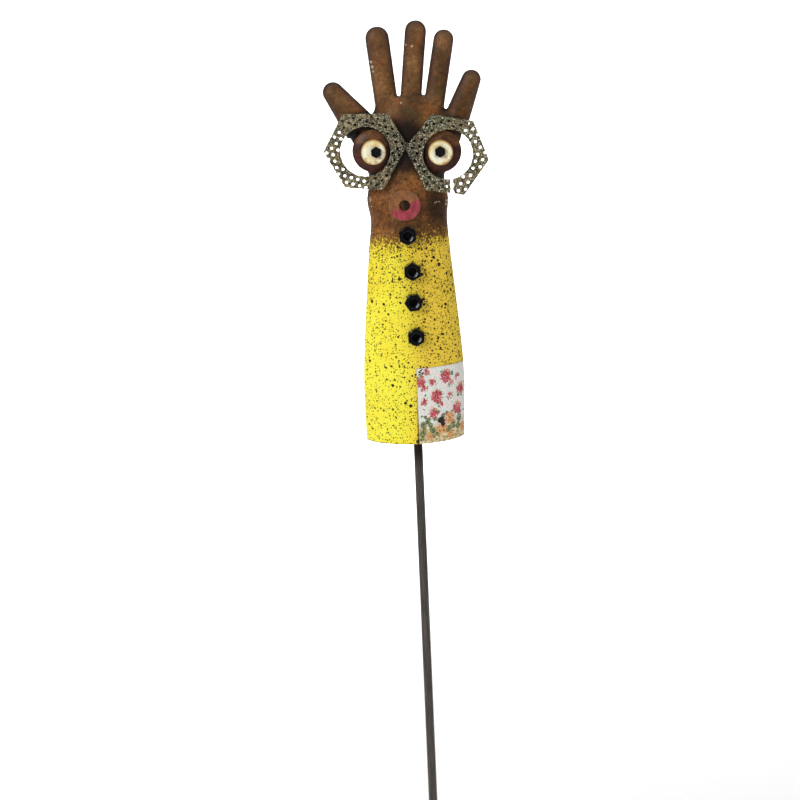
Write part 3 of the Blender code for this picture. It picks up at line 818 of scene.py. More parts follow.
def build_eye_disc(side, seed):
    """A domed steel plug with a rolled rim and a bolt hole."""
    low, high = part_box(f"{side}_eye_disc")
    center, bolt = eye_places(side)
    radius = (high.x - low.x) / 2
    rise = high.y - low.y - DISC_THICKNESS
    outer = [circle(BOLT_HOLE_RADIUS, TURNED_SIDES, low.y, bolt)]
    inner = [circle(BOLT_HOLE_RADIUS, TURNED_SIDES, low.y + DISC_THICKNESS, bolt)]
    for step in range(5, 25):
        share = step / 24
        y = high.y - rise * (1 - share**3)
        outer.append(circle(radius * share, TURNED_SIDES, y - DISC_THICKNESS, center))
        inner.append(circle((radius - DISC_THICKNESS / 4) * share, TURNED_SIDES, y, center))
    rim = (
        (radius - 0.0003, high.y - DISC_THICKNESS),
        (radius, high.y - DISC_THICKNESS * 0.7),
        (radius, high.y - DISC_THICKNESS * 0.25),
        (radius - 0.0002, high.y),
    )
    name = f"{side}_eye_dome"
    rings = outer[:-1] + turned(rim, TURNED_SIDES, center) + inner[::-1]
    dome = new_object(name, loft(name, rings, looped=True))
    finish_piece(dome, disc_material(name + "_paint", side, seed), f"{side}_eye_disc", sharp=60)


def collar_material(name, side, seed):
    """Pale turned brass with fine rings, a whiter worn face and brown smears towards the rim."""
    made = Nodes(name)
    center, _ = eye_places(side)
    across, rise = made.about(*center)
    radius = made.length(across, rise)
    cuts = made.math("SINE", radius * 9000.0)
    broad = made.noise(90.0, 4.0, 0.6, offset=(seed * 3.0, 1.0, 0.0))
    base = made.mix(made.ramp(broad, 0.42, 0.66), srgb(255, 252, 222), srgb(238, 206, 116))
    # Painted shade: darker gold towards the rounded rim
    base = made.mix(made.ramp(radius, 0.0096, 0.0122), base, srgb(190, 146, 64))
    smear = made.noise(170.0, 5.0, 0.65, offset=(2.0, seed * 5.0, 4.0))
    low_right = across * 0.5 - rise
    base = made.patches(base, smear + low_right * 16.0, 0.58, 0.74, 0.8, srgb(168, 116, 42))
    rough = made.ramp(smear, 0.3, 0.8, 0.24, 0.45)
    return made.shade(base, rough, 0.0, made.bump(cuts * 0.25 + smear * 0.5, 0.12, 0.0002))


def build_eye_collar(side, seed):
    low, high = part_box(f"{side}_eye_collar")
    center, bolt = eye_places(side)
    radius = (high.x - low.x) / 2
    mouth = ((BOLT_HOLE_RADIUS, low.y + 0.0003), (BOLT_HOLE_RADIUS + 0.0004, low.y))
    rings = turned(mouth, TURNED_SIDES, bolt)
    profile = [(radius - 0.0020, low.y)]
    for step in range(1, 7):
        turn = math.pi / 2 * step / 6
        edge = radius - COLLAR_EDGE * (1 - math.sin(turn))
        profile.append((edge, low.y + COLLAR_EDGE * (1 - math.cos(turn))))
    profile += [(radius, high.y - 0.0003), (radius - 0.0003, high.y)]
    rings += turned(profile, TURNED_SIDES, center)
    rings.append(circle(BOLT_HOLE_RADIUS, TURNED_SIDES, high.y, bolt))
    name = f"{side}_eye_ring"
    collar = new_object(name, loft(name, rings, looped=True))
    material = collar_material(name + "_brass", side, seed)
    finish_piece(collar, material, f"{side}_eye_collar", sharp=40)


def gloss_black(name, seed, x, z):
    """Black enamel with a soft orange-peel and dust, and a painted highlight along one side of the bore's
    mouth, faint all round it.
    """
    made = Nodes(name)
    peel = made.noise(900.0, 2.0, 0.5, offset=(seed, 0.0, 0.0))
    dust = made.noise(260.0, 5.0, 0.7, offset=(0.0, seed, 3.0))
    color = made.mix(made.ramp(dust, 0.62, 0.85), srgb(6, 6, 10), srgb(24, 20, 20))
    rough = made.ramp(dust, 0.35, 0.8, 0.08, 0.26)
    across, rise = made.about(x, z)
    from_axis = made.length(across, rise)
    outer = made.ramp(from_axis, NUT_MOUTH_RADIUS - 0.0002, NUT_MOUTH_RADIUS + 0.0002, 1.0, 0.0)
    mouth = outer * made.ramp(from_axis, NUT_HOLE_RADIUS - 0.0002, NUT_HOLE_RADIUS + 0.0002)
    # Painted highlight along the lower right of the bore's mouth, faint all round it
    aside = across * 0.82 - rise * 0.57
    painted_highlight = mouth * made.ramp(aside / from_axis, 0.80, 0.97)
    faint_highlight = mouth * made.ramp(dust, 0.5, 0.7, 0.0, 0.12)
    color = made.mix(made.largest(painted_highlight, faint_highlight), color, srgb(150, 154, 162))
    return made.shade(color, rough, 0.0, made.bump(peel, 0.12, 0.00015), specular=0.12)


def hexagon_radius(across_flats, angle):
    from_flat = (angle + math.pi / 6) % (math.pi / 3) - math.pi / 6
    return across_flats / 2 / math.cos(from_flat)


def hexagon_side_rings(across_flats, front, back, face_share, center=(0.0, 0.0)):
    """Rings round a hexagon whose corners are turned off by a 30 degree chamfer at its front."""
    face = across_flats / 2 * face_share
    rings = [circle(face, HEXAGON_SIDES, front, center)]

    def chamfer_y(radius):
        return front + (radius - face) * math.tan(math.radians(30))

    for share in (0.5, 1.0):

        def reach(angle):
            return face + (hexagon_radius(across_flats, angle) - face) * share

        rings.append(circle(reach, HEXAGON_SIDES, chamfer_y, center))
    rings.append(circle(lambda angle: hexagon_radius(across_flats, angle), HEXAGON_SIDES, back, center))
    return rings


def pupil_enamel(name, seed, center, face_y):
    """Black enamel with a painted bluish reflection in the middle and rusty specks round the head's corners.
    """
    made = Nodes(name)
    spot = made.distance(made.place, (center[0], face_y, center[1]))
    dust = made.noise(420.0, 4.0, 0.6, offset=(seed, 1.0, 2.0))
    # Painted bluish reflection in the middle of the head
    color = made.mix(made.ramp(spot, 0.0026, 0.0040), srgb(8, 13, 19), srgb(5, 4, 5))
    rim = made.ramp(spot, 0.0044, 0.0050) * made.ramp(dust, 0.40, 0.65)
    color = made.mix(rim, color, srgb(52, 24, 16))
    rough = made.ramp(dust, 0.3, 0.8, 0.22, 0.5)
    return made.shade(color, rough, 0.0, made.bump(dust, 0.15, 0.0002), specular=0.12)


def build_pupil_bolt(side, seed):
    """A small hexagon-headed bolt: turned-off corners, a shallow dished face, and its shank."""
    low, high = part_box(f"{side}_pupil_bolt")
    _, center = eye_places(side)
    neck = low.y + BOLT_HEAD_HEIGHT
    floor = low.y + BOLT_DISH_DEPTH
    dish = ((0.0002, floor), (BOLT_HEAD_ACROSS * 0.28, floor), (BOLT_HEAD_ACROSS * 0.34, low.y))
    rings = turned(dish, HEXAGON_SIDES, center)
    rings += hexagon_side_rings(BOLT_HEAD_ACROSS, low.y, neck, BOLT_FACE, center)
    rings += turned(((BOLT_SHANK_RADIUS, neck), (BOLT_SHANK_RADIUS, high.y)), HEXAGON_SIDES, center)
    name = f"{side}_pupil_screw"
    bolt = new_object(name, loft(name, rings))
    material = pupil_enamel(name + "_enamel", seed, center, low.y)
    finish_piece(bolt, material, f"{side}_pupil_bolt", sharp=28)


def threaded_nut(name, across_flats, thickness, hole_radius, pitch):
    """A hexagon nut about its own origin, back at y = 0, with a threaded bore."""
    front = -thickness
    outside = hexagon_side_rings(across_flats, front, -across_flats * NUT_BACK_CHAMFER, NUT_FACE)
    depth = pitch * THREAD_DEPTH
    mouth = depth * MOUTH_REACH
    bore = turned(((across_flats / 2 * NUT_BACK, 0.0), (hole_radius + depth, 0.0)), HEXAGON_SIDES)
    rows = round(thickness / pitch * THREAD_ROWS)
    threaded = thickness - THREAD_START - mouth * MOUTH_SLOPE
    for row in range(rows + 1):

        def thread(angle):
            phase = (row / THREAD_ROWS + angle / math.tau) % 1.0
            return hole_radius + depth * (1 - abs(phase * 2 - 1))

        bore.append(circle(thread, HEXAGON_SIDES, -THREAD_START - threaded * row / rows))
    edge = ((hole_radius, front + mouth * MOUTH_SLOPE), (hole_radius + mouth, front))
    bore += turned(edge, HEXAGON_SIDES)
    return loft(name, outside + bore, looped=True)


def plate_material(name, seed):
    """Weathered perforated steel: grey-green and tan mottling, dark pits, and bright painted glints."""
    made = Nodes(name)
    broad = made.noise(75.0, 5.0, 0.66, offset=(seed, 0.0, 0.0))
    middle = made.noise(330.0, 5.0, 0.72, offset=(0.0, seed * 2.0, 0.0))
    fine = made.noise(640.0, 4.0, 0.8, offset=(5.0, 0.0, seed))
    green = made.mix(made.ramp(middle, 0.40, 0.60), srgb(40, 39, 26), srgb(106, 103, 70))
    tan = made.mix(made.ramp(middle, 0.40, 0.60), srgb(54, 43, 28), srgb(146, 126, 86))
    base = made.mix(made.ramp(broad, 0.42, 0.6), green, tan)
    pits = made.noise(700.0, 4.0, 0.7, offset=(9.0, 1.0, seed))
    base = made.patches(base, pits, 0.51, 0.58, 0.50, srgb(24, 20, 15))
    inward = made.ramp(abs(made.axes()[0]), 0.004, 0.030, 0.55, 0.0)
    base = made.mix(inward, base, srgb(30, 26, 20))
    # Painted glints: bright specks that stand for sparkle, which are also made shinier
    painted_glints = made.ramp(fine, 0.57, 0.60)
    base = made.mix(painted_glints, base, srgb(255, 250, 222))
    base = made.patches(base, made.edge_wear(), 0.56, 0.66, 0.4, srgb(196, 184, 150))
    rough = made.mix_number(painted_glints, made.ramp(middle, 0.3, 0.75, 0.45, 0.65), 0.3)
    metal = made.mix_number(painted_glints, 0.05, 0.5)
    relief = middle * 0.7 + fine * 0.5
    return made.shade(base, rough, metal, made.bump(relief, 0.6, 0.0006), specular=0.3)


def outline_sides(corners):
    """Start, end and length of each side of an outline."""
    for k, (ax, az) in enumerate(corners):
        bx, bz = corners[(k + 1) % len(corners)]
        yield ax, az, bx, bz, math.hypot(bx - ax, bz - az)


def edge_distance(x, z, corners):
    """How far inside the six-sided outline a point lies, and which side is nearest."""
    nearest = (1.0, 0)
    for k, (ax, az, bx, bz, length) in enumerate(outline_sides(corners)):
        nearest = min(nearest, (((bx - ax) * (z - az) - (bz - az) * (x - ax)) / length, k))
    return nearest


def ragged_outline(corners, roughness, seed):
    """The plate's sheared outline with small nicks along its sides."""
    points = []
    for side_roughness, (ax, az, bx, bz, length) in zip(roughness, outline_sides(corners)):
        count = max(3, round(length / NICK_STEP))
        nx, nz = (bz - az) / length, -(bx - ax) / length
        for step in range(count):
            share = step / count
            x = ax + (bx - ax) * share
            z = az + (bz - az) * share
            bite = CORNER_BITE
            if step:
                bite = side_roughness * max(0.0, noise.noise(Vector((x * 400, z * 400, seed))) * 1.6 - 0.1)
            points.append((x - nx * bite, z - nz * bite))
    return points


def slab(name, outline, y_front, y_back):
    """A flat solid between two planes across Y, from its outline's (x, z) points."""
    return loft(name, [[Vector((x, y, z)) for x, z in outline] for y in (y_front, y_back)])


def slit_cutter(x, z, y_front, y_back):
    """The ragged burnt gap through the ring's lower side."""
    left = [(x + SLIT_X - side, z + drop) for drop, side in SLIT_LEFT]
    right = [(x + SLIT_X + side, z + drop) for drop, side in SLIT_RIGHT]
    outline = [(left[0][0], z - SLIT_TOP), *left, (left[-1][0], z - SLIT_FOOT)]
    outline += [(right[-1][0], z - SLIT_FOOT), *right[::-1], (right[0][0], z - SLIT_TOP)]
    return slab("slit", outline, y_front, y_back)


def hole_centers(side, corners):
    """Staggered perforations, with the ones that the sheared edges and the opening cut through."""
    pitch, turn, shift, row_shift = HOLE_LATTICES[side]
    along = math.radians(turn)
    across = math.radians(turn + 60)
    reach = HOLE_RADIUS + HOLE_MARGIN
    centers = []
    for row in HOLE_ROWS:
        for column in HOLE_ROWS:
            x = pitch * ((column + shift) * math.cos(along) + (row + row_shift) * math.cos(across))
            z = pitch * ((column + shift) * math.sin(along) + (row + row_shift) * math.sin(across))
            inside, nearest = edge_distance(x, z, corners)
            from_opening = math.hypot(x, z) - OPENING_RADIUS
            whole = min(inside, from_opening) > reach
            torn = nearest in TORN_SIDES[side] and TORN_REACH < inside <= reach < from_opening
            at_slit = side == "right" and abs(x - SLIT_X) < SLIT_CLEARANCE and z < 0
            if (whole or torn) and not at_slit:
                centers.append((x, z))
    return centers


def build_glasses_ring(side, seed):
    """A perforated plate with punched holes, nicked edges and a cut opening, and a slit in the right one."""
    low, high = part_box(f"{side}_glasses_ring")
    (x, up), corners = GLASSES[side]
    z = RIM_Z + up
    name = f"{side}_glasses_plate"
    outline = [(x + px, z + pz) for px, pz in ragged_outline(corners, EDGE_ROUGHNESS[side], seed)]
    plate = new_object(name, slab(name, outline, low.y, high.y))
    cut = (low.y - CUT_MARGIN, high.y + CUT_MARGIN)

    def opening(angle):
        spot = Vector((math.cos(angle) * 9, math.sin(angle) * 9, seed + 4.0))
        return OPENING_RADIUS + OPENING_WOBBLE * noise.noise(spot)

    cut_out(plate, loft("opening", [circle(opening, OPENING_SIDES, y, (x, z)) for y in cut]))
    if side == "right":
        cut_out(plate, slit_cutter(x, z, *cut))
    punches = []
    for cx, cz in hole_centers(side, corners):
        radius = HOLE_RADIUS * (1 + 0.10 * noise.noise(Vector((cx * 900, cz * 900, seed))))
        punches.append(loft("punch", [circle(radius, HOLE_SIDES, y, (x + cx, z + cz)) for y in cut]))
    cut_out(plate, joined_mesh("punches", punches))
    bevel = plate.modifiers.new("edges", "BEVEL")
    bevel.width = PLATE_BEVEL
    bevel.segments = 2
    bevel.limit_method = "ANGLE"
    bevel.angle_limit = math.radians(40)
    bevel.harden_normals = False
    apply_modifiers(plate)
    material = plate_material(name + "_steel", seed)
    finish_piece(plate, material, f"{side}_glasses_ring", sharp=15)


def lips_material(low, center, radius):
    """Pink brushed paint on the lower and right part of a rusty washer."""
    made = Nodes("lips_paint")
    rust, _, _ = rust_layer(made)
    rust = made.mix(0.3, rust, srgb(140, 80, 34))
    across, rise = made.about(*center)
    line = rise - across * 0.40
    wander = (made.noise(210.0, 4.0, 0.6) - 0.5) * 0.008
    painted = made.ramp(line + wander, -0.0008, 0.0012, 1.0, 0.0)
    from_middle = made.distance(made.place, (center[0], low.y, center[1]))
    uneven = wander * 0.3
    bare = from_middle + rise * -0.08 + uneven
    painted = painted * made.ramp(bare, radius - 0.0003, radius + 0.0004, 1.0, 0.0)
    strokes = made.noise(260.0, 4.0, 0.6, vector=made.stretched(made.place, (1.0, 1.0, 0.35)))
    pink = made.mix(made.ramp(strokes, 0.35, 0.7), srgb(132, 34, 46), srgb(182, 66, 80))
    pink = made.patches(pink, made.noise(620.0, 3.0, 0.7), 0.64, 0.72, 0.6, srgb(120, 60, 46))
    color = made.mix(painted, rust, pink)
    rough = made.ramp(strokes, 0.3, 0.8, 0.42, 0.6)
    return made.shade(color, rough, 0.0, made.bump(strokes, 0.3, 0.0004))


def build_lips():
    low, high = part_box("lips_washer")
    center = ((low.x + high.x) / 2, (low.z + high.z) / 2)
    radius = (high.x - low.x) / 2
    hole = LIPS_HOLE_RADIUS
    soft = LIPS_EDGE
    profile = (
        (hole, low.y + soft),
        (hole + soft * 0.3, low.y + soft * 0.3),
        (hole + soft, low.y),
        (radius - soft, low.y),
        (radius - soft * 0.3, low.y + soft * 0.3),
        (radius, low.y + soft),
        (radius, high.y - soft),
        (radius - soft, high.y),
        (hole + soft, high.y),
        (hole, high.y - soft),
    )
    washer = new_object("lips_ring", loft("lips_ring", turned(profile, TURNED_SIDES, center), looped=True))
    finish_piece(washer, lips_material(low, center, radius), "lips_washer", sharp=20)


# ---- Buttons ----

# x, up and turn in degrees of each nut
BUTTONS = ((-0.0020, 0.2145, -3), (0.0012, 0.1790, 0), (0.0012, 0.1480, 27), (0.0022, 0.1130, 0))
BUTTON_ACROSS = 0.0160
BUTTON_THICKNESS = 0.0084
BUTTON_PITCH = 0.0015


def build_buttons():
    """Black M10 nuts that sit square on the sloping front."""
    reach = BUTTON_ACROSS / 2
    for number, (x, up, turn) in enumerate(BUTTONS, 1):
        name = f"button_{number}"
        mesh = threaded_nut(name, BUTTON_ACROSS, BUTTON_THICKNESS, NUT_HOLE_RADIUS, BUTTON_PITCH)
        slope = (front_y(x, up + reach) - front_y(x, up - reach)) / (2 * reach)
        lean = math.atan(slope)
        normal = Vector((0.0, -math.cos(lean), math.sin(lean)))
        seat = Vector((x, front_y(x, up), RIM_Z + up)) + normal * 2 * GAP
        tilt = Matrix.Rotation(-lean, 4, "X")
        mesh.transform(Matrix.Translation(seat) @ tilt @ Matrix.Rotation(math.radians(turn), 4, "Y"))
        nut = new_object(name, mesh)
        material = gloss_black(name + "_enamel", number * 1.7, x, RIM_Z + up)
        finish_piece(nut, material, f"button_nut_{number}", sharp=28)


# ---- Flower patch ----

PATCH_END_ANGLE = 13
PATCH_BOTTOM = 0.0006
PATCH_LIFT = 0.00045
PATCH_THICKNESS = 0.0005
PATCH_CORNER_LIFT = 0.0010
PATCH_COLUMNS = 72
PATCH_ROWS = 96

# Printed shapes in millimetres: across from the left edge, up from the bottom, size. Leaves also have a
# turn in degrees
ROSES = (
    (31.0, 64.4, 6.2), (16.2, 60.1, 3.5), (3.8, 62.0, 5.4), (7.4, 55.0, 3.0), (20.6, 44.8, 6.6),
    (34.7, 44.2, 2.9), (25.0, 36.4, 2.7), (7.0, 41.2, 3.2), (45.6, 48.4, 5.8), (42.6, 63.2, 2.7),
    (41.6, 29.2, 5.6), (11.2, 72.4, 3.1), (36.4, 57.0, 2.7), (16.8, 27.6, 4.8),
)
MARIGOLDS = ((33.6, 20.6, 6.4), (25.2, 10.6, 6.2), (11.0, 4.0, 3.6), (46.0, 8.0, 4.2), (34.0, 3.0, 4.0))
LEAVES = (
    (7.6, 18.4, 6.2, 40), (13.6, 12.8, 6.4, 110), (4.6, 10.6, 6.0, 80), (9.0, 23.6, 4.0, 150),
    (34.4, 10.4, 6.0, 20), (39.6, 13.0, 6.2, 140), (43.4, 21.6, 6.4, 85), (20.6, 21.4, 5.2, 160),
    (28.8, 25.4, 4.6, 30), (17.6, 5.4, 4.6, 10), (3.6, 3.4, 3.6, 60),
)
PRINT_SPOTS = ((24.6, 20.0, 4.0), (26.4, 16.0, 2.8))
SPECKS = (
    (3.4, 72.6, 1.1), (5.2, 74.2, 1.1), (6.4, 70.6, 1.2), (2.6, 69.8, 0.9), (1.6, 66.8, 0.7),
    (8.6, 47.6, 0.9), (6.0, 33.0, 0.8), (3.8, 26.0, 0.9),
)


def patch_arcs(station, end, columns):
    """Angles across the patch from its left edge to an end angle, with the arc length at each."""
    start = math.acos((PATCH_LEFT_X - station[0]) / station[1])
    arc = 0.0
    last = section_point(station, start, 0.0)
    stops = [(start, arc)]
    for k in range(1, columns + 1):
        angle = start + (end - start) * k / columns
        point = section_point(station, angle, 0.0)
        arc += (point - last).length
        last = point
        stops.append((angle, arc))
    return stops


def arc_at(across, up):
    """Arc length in millimetres at which the patch lies `across` millimetres right of its left edge."""
    station = station_at(up / 1000)
    target = PATCH_LEFT_X + across / 1000
    end = math.acos(max(-1.0, min(0.995, (target - station[0]) / station[1])))
    _, arc = patch_arcs(station, end, 40)[-1]
    return arc * 1000


def nearest_of(made, place, circles):
    """How far the place is from the nearest circle's middle, where 1 is that circle's edge."""
    nearest = 9.0
    for across, up, size in circles:
        away = made.distance(place, (arc_at(across, up), up, 0.0))
        nearest = made.smallest(nearest, away * (1 / size))
    return nearest


def printed(made, color, nearest, swirl, inked, tones):
    """Prints flowers or leaves over a colour, in two inks that curl about each middle."""
    curls = made.math("PINGPONG", made.math("MULTIPLY_ADD", nearest, 0.9, swirl), 0.5)
    ink = made.mix(made.ramp(curls, 0.14, 0.36), *tones)
    return made.mix(made.ramp(nearest, 0.90, 1.0, 1.0, 0.0) * inked, color, ink)


def leaf_circles(across, up, size, turn):
    """Two circles that make one pointed leaf."""
    dx = math.cos(math.radians(turn)) * size * 0.5
    dy = math.sin(math.radians(turn)) * size * 0.5
    return ((across - dx, up - dy, size * 0.62), (across + dx, up + dy, size * 0.46))


def all_leaves():
    """The placed leaves, and two small ones at random beside each rose."""
    chance = random.Random(7)
    leaves = []
    for shape in LEAVES:
        leaves += leaf_circles(*shape)
    for across, up, size in ROSES:
        for _ in range(2):
            angle = chance.uniform(0.0, 360.0)
            out = size * chance.uniform(0.95, 1.3)
            x = across + out * math.cos(math.radians(angle))
            y = up + out * math.sin(math.radians(angle))
            leaves += leaf_circles(x, y, size * chance.uniform(0.38, 0.58), angle + 60.0)
    return leaves


def patch_material():
    """A generic small-rose print on a pale ground over tin, with worn specks and a stained lower edge."""
    made = Nodes("printed_tin")
    uv = made.add("ShaderNodeUVMap", uv_map="print")[0]
    place = made.moved(made.stretched(uv, (108.0, 100.0, 0.0)), (0.0, -3.5, 0.0))
    ragged = made.stretched(made.warped(place, 0.50, 11.0), (1.0, 1.0, 0.0))
    loose = made.stretched(made.warped(place, 0.45, 5.0), (1.0, 1.0, 0.0))
    swirl = made.noise(0.34, 3.0, 0.7, vector=place) * 4.0
    inked = made.ramp(made.noise(0.52, 3.0, 0.65, vector=ragged), 0.37, 0.43)
    tint = made.noise(0.16, 2.0, 0.5, vector=place)
    pale = made.mix(made.ramp(tint, 0.38, 0.6), srgb(212, 232, 222), srgb(244, 222, 220))
    clean = made.ramp(made.noise(0.5, 3.0, 0.6, vector=place), 0.45, 0.6)
    color = made.mix(clean, pale, srgb(244, 243, 234))
    _, rise, _ = made.axes(place)
    sway = made.wander(made.noise(0.3, 3.0, 0.6, vector=place), 10.0)
    foot = made.ramp(rise + sway, 10.0, 22.0, 1.0, 0.0)
    straw = made.mix(made.ramp(swirl, 1.8, 2.2), srgb(170, 138, 62), srgb(240, 222, 172))
    color = made.mix(foot * 0.9, color, straw)
    halos = [(across, up + size * 0.55, size * 0.85) for across, up, size in ROSES]
    for circles, field, share, tones in (
        (halos, ragged, inked, (srgb(214, 128, 92), srgb(238, 208, 168))),
        (all_leaves(), loose, inked, (srgb(18, 38, 24), srgb(136, 152, 96))),
        (MARIGOLDS, ragged, inked, (srgb(172, 40, 30), srgb(244, 196, 120))),
        (ROSES, ragged, inked, (srgb(138, 10, 28), srgb(222, 92, 106))),
        (PRINT_SPOTS + SPECKS, loose, 1.0, (srgb(36, 22, 20), srgb(48, 34, 28))),
    ):
        color = printed(made, color, nearest_of(made, field, circles), swirl, share, tones)
    freckles = made.cells(0.42, ragged)["Distance"]
    sparse = made.ramp(made.noise(0.22, 2.0, 0.5, vector=place), 0.44, 0.54)
    freckle = made.ramp(freckles, 0.12, 0.20, 1.0, 0.0) * sparse
    color = made.mix(freckle * 0.8, color, srgb(84, 92, 76))
    color = made.patches(color, made.edge_wear(), 0.54, 0.62, 0.5, srgb(110, 84, 60))
    grain = made.noise(3.2, 3.0, 0.6, vector=place)
    rough = made.ramp(grain, 0.3, 0.8, 0.36, 0.55)
    return made.shade(color, rough, 0.0, made.bump(grain, 0.12, 0.0002), specular=0.3)


def patch_points():
    """The patch's points, under side first and row by row, with arc and height in millimetres for each."""
    points = []
    arcs = []
    for grow in (PATCH_LIFT, PATCH_LIFT + PATCH_THICKNESS):
        for row in range(PATCH_ROWS + 1):
            height = row / PATCH_ROWS
            up = PATCH_BOTTOM + (PATCH_TOP - PATCH_BOTTOM) * row / PATCH_ROWS
            station = station_at(up)
            stops = patch_arcs(station, math.radians(PATCH_END_ANGLE), PATCH_COLUMNS)
            for k, (angle, arc) in enumerate(stops):
                across = k / PATCH_COLUMNS
                spring = PATCH_CORNER_LIFT * (1 - smooth_share(min(1.0, across * 3))) * (1 - height) ** 2
                wave = 0.00012 * noise.noise(Vector((across * 5, height * 7, 3.0)))
                points.append(section_point(station, angle, up, grow + spring + wave))
                arcs.append((arc * 1000, up * 1000))
    return points, arcs


def build_patch():
    """Thin tin that follows the forearm, with its lower left corner sprung a little."""
    points, arcs = patch_points()
    width = PATCH_COLUMNS + 1
    count = width * (PATCH_ROWS + 1)
    faces = []
    for shift in (0, count):
        for row in range(PATCH_ROWS):
            for k in range(PATCH_COLUMNS):
                corner = shift + row * width + k
                faces.append((corner, corner + 1, corner + width + 1, corner + width))
    border = list(range(width))
    border += [width * (row + 1) - 1 for row in range(1, PATCH_ROWS + 1)]
    border += list(range(count - 2, count - width - 1, -1))
    border += [width * row for row in range(PATCH_ROWS - 1, 0, -1)]
    for k, corner in enumerate(border):
        following = border[(k + 1) % len(border)]
        faces.append((corner, following, following + count, corner + count))
    patch = new_object("flower_patch_tin", mesh_from("flower_patch_tin", points, faces))
    layer = patch.data.uv_layers.new(name="print")
    for loop in patch.data.loops:
        arc, up = arcs[loop.vertex_index]
        layer.data[loop.index].uv = (arc / 100, up / 100)
    finish_piece(patch, patch_material(), "flower_patch", sharp=40)


# ---- Welds and hidden nuts ----

EYE_NUT_ACROSS = 0.0095
EYE_NUT_PITCH = 0.0008
WELD_ROWS = 40
WELD_SIDES = 48
WELD_RIPPLES = 5
# How much of its box a bead fills, and what stays free at each end
WELD_FILL = 0.93
WELD_SPARE = 0.0001


def weld_material():
    """Dark fused metal with heat tints and soot."""
    made = Nodes("weld_metal")
    broad = made.noise(180.0, 4.0, 0.6)
    fine = made.noise(900.0, 3.0, 0.6)
    base = made.mix(made.ramp(broad, 0.35, 0.68), srgb(52, 44, 40), srgb(112, 98, 84))
    tint = made.noise(120.0, 3.0, 0.5, offset=(4.0, 4.0, 0.0))
    base = made.patches(base, tint, 0.55, 0.72, 0.5, srgb(96, 58, 36))
    return made.shade(base, made.ramp(fine, 0.3, 0.8, 0.4, 0.65), 0.6, made.bump(fine, 0.3, 0.0003))


def build_weld(node, along, seed, material):
    """A lumpy bead with ripples, filling its CAD node's box. along is the index of its long axis."""
    low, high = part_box(node)
    middle = (low + high) / 2
    half = (high - low) / 2
    first, second = [k for k in range(3) if k != along]
    rings = []
    for row in range(WELD_ROWS + 1):
        share = row / WELD_ROWS
        ripple = 1.0 + 0.05 * math.sin(share * math.tau * WELD_RIPPLES)
        cap = min(1.0, 0.62 + 2.4 * min(share, 1 - share))
        ring = []
        for k in range(WELD_SIDES):
            angle = math.tau * k / WELD_SIDES
            direction = Vector((math.cos(angle), math.sin(angle), share * 2 + seed))
            scale = WELD_FILL * cap * ripple * (1 + 0.07 * noise.noise(direction * 2))
            point = Vector((0.0, 0.0, 0.0))
            point[along] = low[along] + WELD_SPARE + 2 * (half[along] - WELD_SPARE) * share
            point[first] = middle[first] + half[first] * scale * math.cos(angle)
            point[second] = middle[second] + half[second] * scale * math.sin(angle)
            ring.append(point)
        rings.append(ring)
    bead = new_object(node + "_bead", loft(node + "_bead", rings))
    finish_piece(bead, material, node, sharp=60)


def build_welds():
    material = weld_material()
    face_welds = ("glasses_bridge", "left_glasses", "right_glasses", "left_eye", "right_eye")
    for seed, place in enumerate(face_welds):
        build_weld(f"{place}_weld", 1, seed, material)
    for seed, place in enumerate(("lower_left", "lower_right", "upper_left", "upper_right")):
        build_weld(f"rod_weld_{place}", 2, seed + 9, material)


def build_eye_nuts():
    material = plain_steel("zinc_steel", srgb(176, 178, 182), 0.34, 400.0)
    for side in EYES:
        low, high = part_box(f"{side}_eye_nut")
        name = f"{side}_dome_nut"
        mesh = threaded_nut(name, EYE_NUT_ACROSS, high.y - low.y, BOLT_HOLE_RADIUS, EYE_NUT_PITCH)
        mesh.transform(Matrix.Translation(((low.x + high.x) / 2, high.y, (low.z + high.z) / 2)))
        finish_piece(new_object(name, mesh), material, f"{side}_eye_nut", sharp=28)


# ---- Stage, light and camera ----

CAMERA_AIM = Vector((-0.01677, 0.0, 0.79782))
CAMERA_DISTANCE = 1.8
CAMERA_DROP = math.radians(16.5)
CAMERA_ROLL = math.radians(-2.58)
CAMERA_LENS = 78.246
STAGE_HALF = 12.0
STAGE_FRONT = -6.0
STAGE_BACK = 8.0
STAGE_BEND = 3.0
STAGE_TOP = 9.0
SKY_STRENGTH = 0.54
# Area lights: name, place, aim, size, energy and spread in degrees
LIGHTS = (
    ("key", (-1.7, -2.2, 2.4), (0.0, 0.0, 0.95), (0.9, 1.2), 42.0, 180),
    ("overhead", (0.2, 0.3, 3.2), (0.0, 0.0, 0.9), (2.0, 2.0), 10.0, 180),
    ("backdrop_wash", (0.0, 3.2, 5.0), (0.0, 7.0, 0.8), (7.0, 4.0), 600.0, 120),
    ("floor_wash", (0.0, 3.4, 3.2), (0.0, 3.6, 0.0), (5.0, 3.0), 130.0, 100),
)


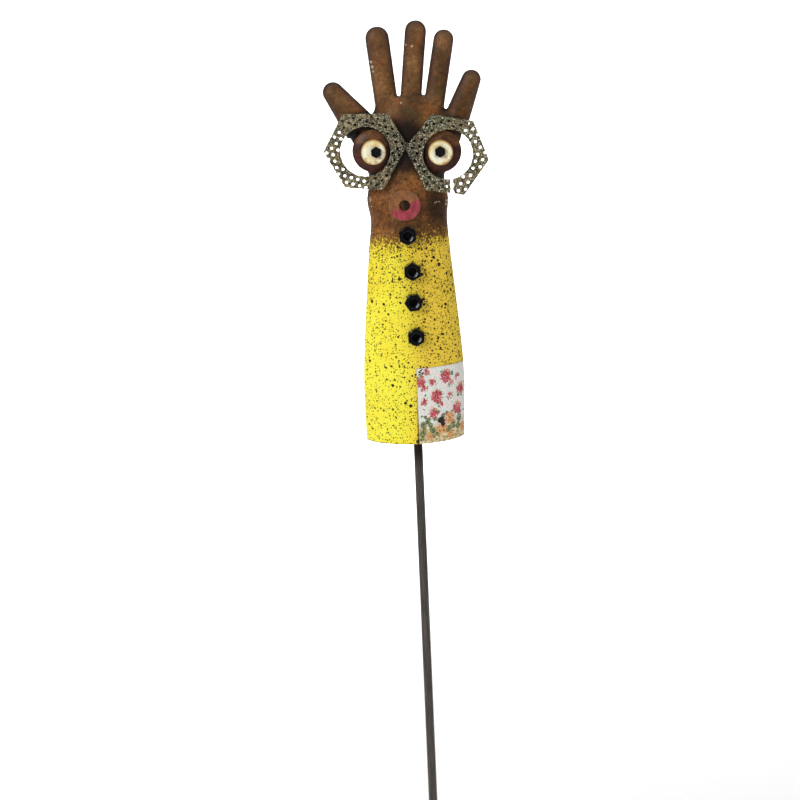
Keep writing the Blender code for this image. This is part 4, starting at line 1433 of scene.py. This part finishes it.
def build_camera():
    forward = Vector((0.0, math.cos(CAMERA_DROP), -math.sin(CAMERA_DROP)))
    level = Vector((1.0, 0.0, 0.0))
    upright = level.cross(forward)
    right = level * math.cos(CAMERA_ROLL) + upright * math.sin(CAMERA_ROLL)
    upward = upright * math.cos(CAMERA_ROLL) - level * math.sin(CAMERA_ROLL)
    camera = bpy.data.objects.new("camera", bpy.data.cameras.new("camera"))
    camera.data.sensor_width = 36.0
    camera.data.lens = CAMERA_LENS
    camera.data.clip_end = 200.0
    turn = Matrix((right, upward, -forward)).transposed().to_4x4()
    camera.matrix_world = Matrix.Translation(CAMERA_AIM - forward * CAMERA_DISTANCE) @ turn
    bpy.context.scene.collection.objects.link(camera)
    bpy.context.scene.camera = camera


def add_area(name, place, aim, size, energy, spread):
    light = bpy.data.lights.new(name, "AREA")
    light.spread = math.radians(spread)
    light.shape = "RECTANGLE"
    light.size, light.size_y = size
    light.energy = energy
    item = bpy.data.objects.new(name, light)
    item.location = place
    item.rotation_euler = (Vector(aim) - Vector(place)).to_track_quat("-Z", "Y").to_euler()
    bpy.context.scene.collection.objects.link(item)


def build_stage():
    """A pale floor that curves up into a far backdrop."""
    profile = [(STAGE_FRONT, 0.0), (STAGE_BACK, 0.0)]
    for k in range(1, 13):
        turn = k * math.pi / 24
        profile.append((STAGE_BACK + STAGE_BEND * math.sin(turn), STAGE_BEND - STAGE_BEND * math.cos(turn)))
    profile.append((STAGE_BACK + STAGE_BEND, STAGE_TOP))
    points = []
    for y, z in profile:
        points += [(-STAGE_HALF, y, z - 0.001), (STAGE_HALF, y, z - 0.001)]
    faces = [(2 * k, 2 * k + 1, 2 * k + 3, 2 * k + 2) for k in range(len(profile) - 1)]
    floor = new_object("studio_floor", mesh_from("studio_floor", points, faces))
    floor.data.shade_smooth()
    made = Nodes("studio_paper")
    tone = made.mix(made.noise(0.8, 2.0, 0.5), (0.90, 0.90, 0.90, 1.0), (0.93, 0.93, 0.93, 1.0))
    floor.data.materials.append(made.shade(tone, 0.8, 0.0))


def build_lights():
    world = bpy.data.worlds.new("studio")
    world.use_nodes = True
    background = world.node_tree.nodes["Background"]
    background.inputs["Color"].default_value = (1.0, 1.0, 1.0, 1.0)
    background.inputs["Strength"].default_value = SKY_STRENGTH
    bpy.context.scene.world = world
    bpy.context.scene.view_settings.view_transform = "Standard"
    for light in LIGHTS:
        add_area(*light)


def main():
    build_hand_form()
    build_rod()
    for seed, side in enumerate(EYES):
        build_eye_disc(side, seed)
        build_eye_collar(side, seed)
        build_pupil_bolt(side, seed)
        build_glasses_ring(side, seed)
    build_lips()
    build_buttons()
    build_patch()
    build_welds()
    build_eye_nuts()
    build_stage()
    build_lights()
    build_camera()


main()
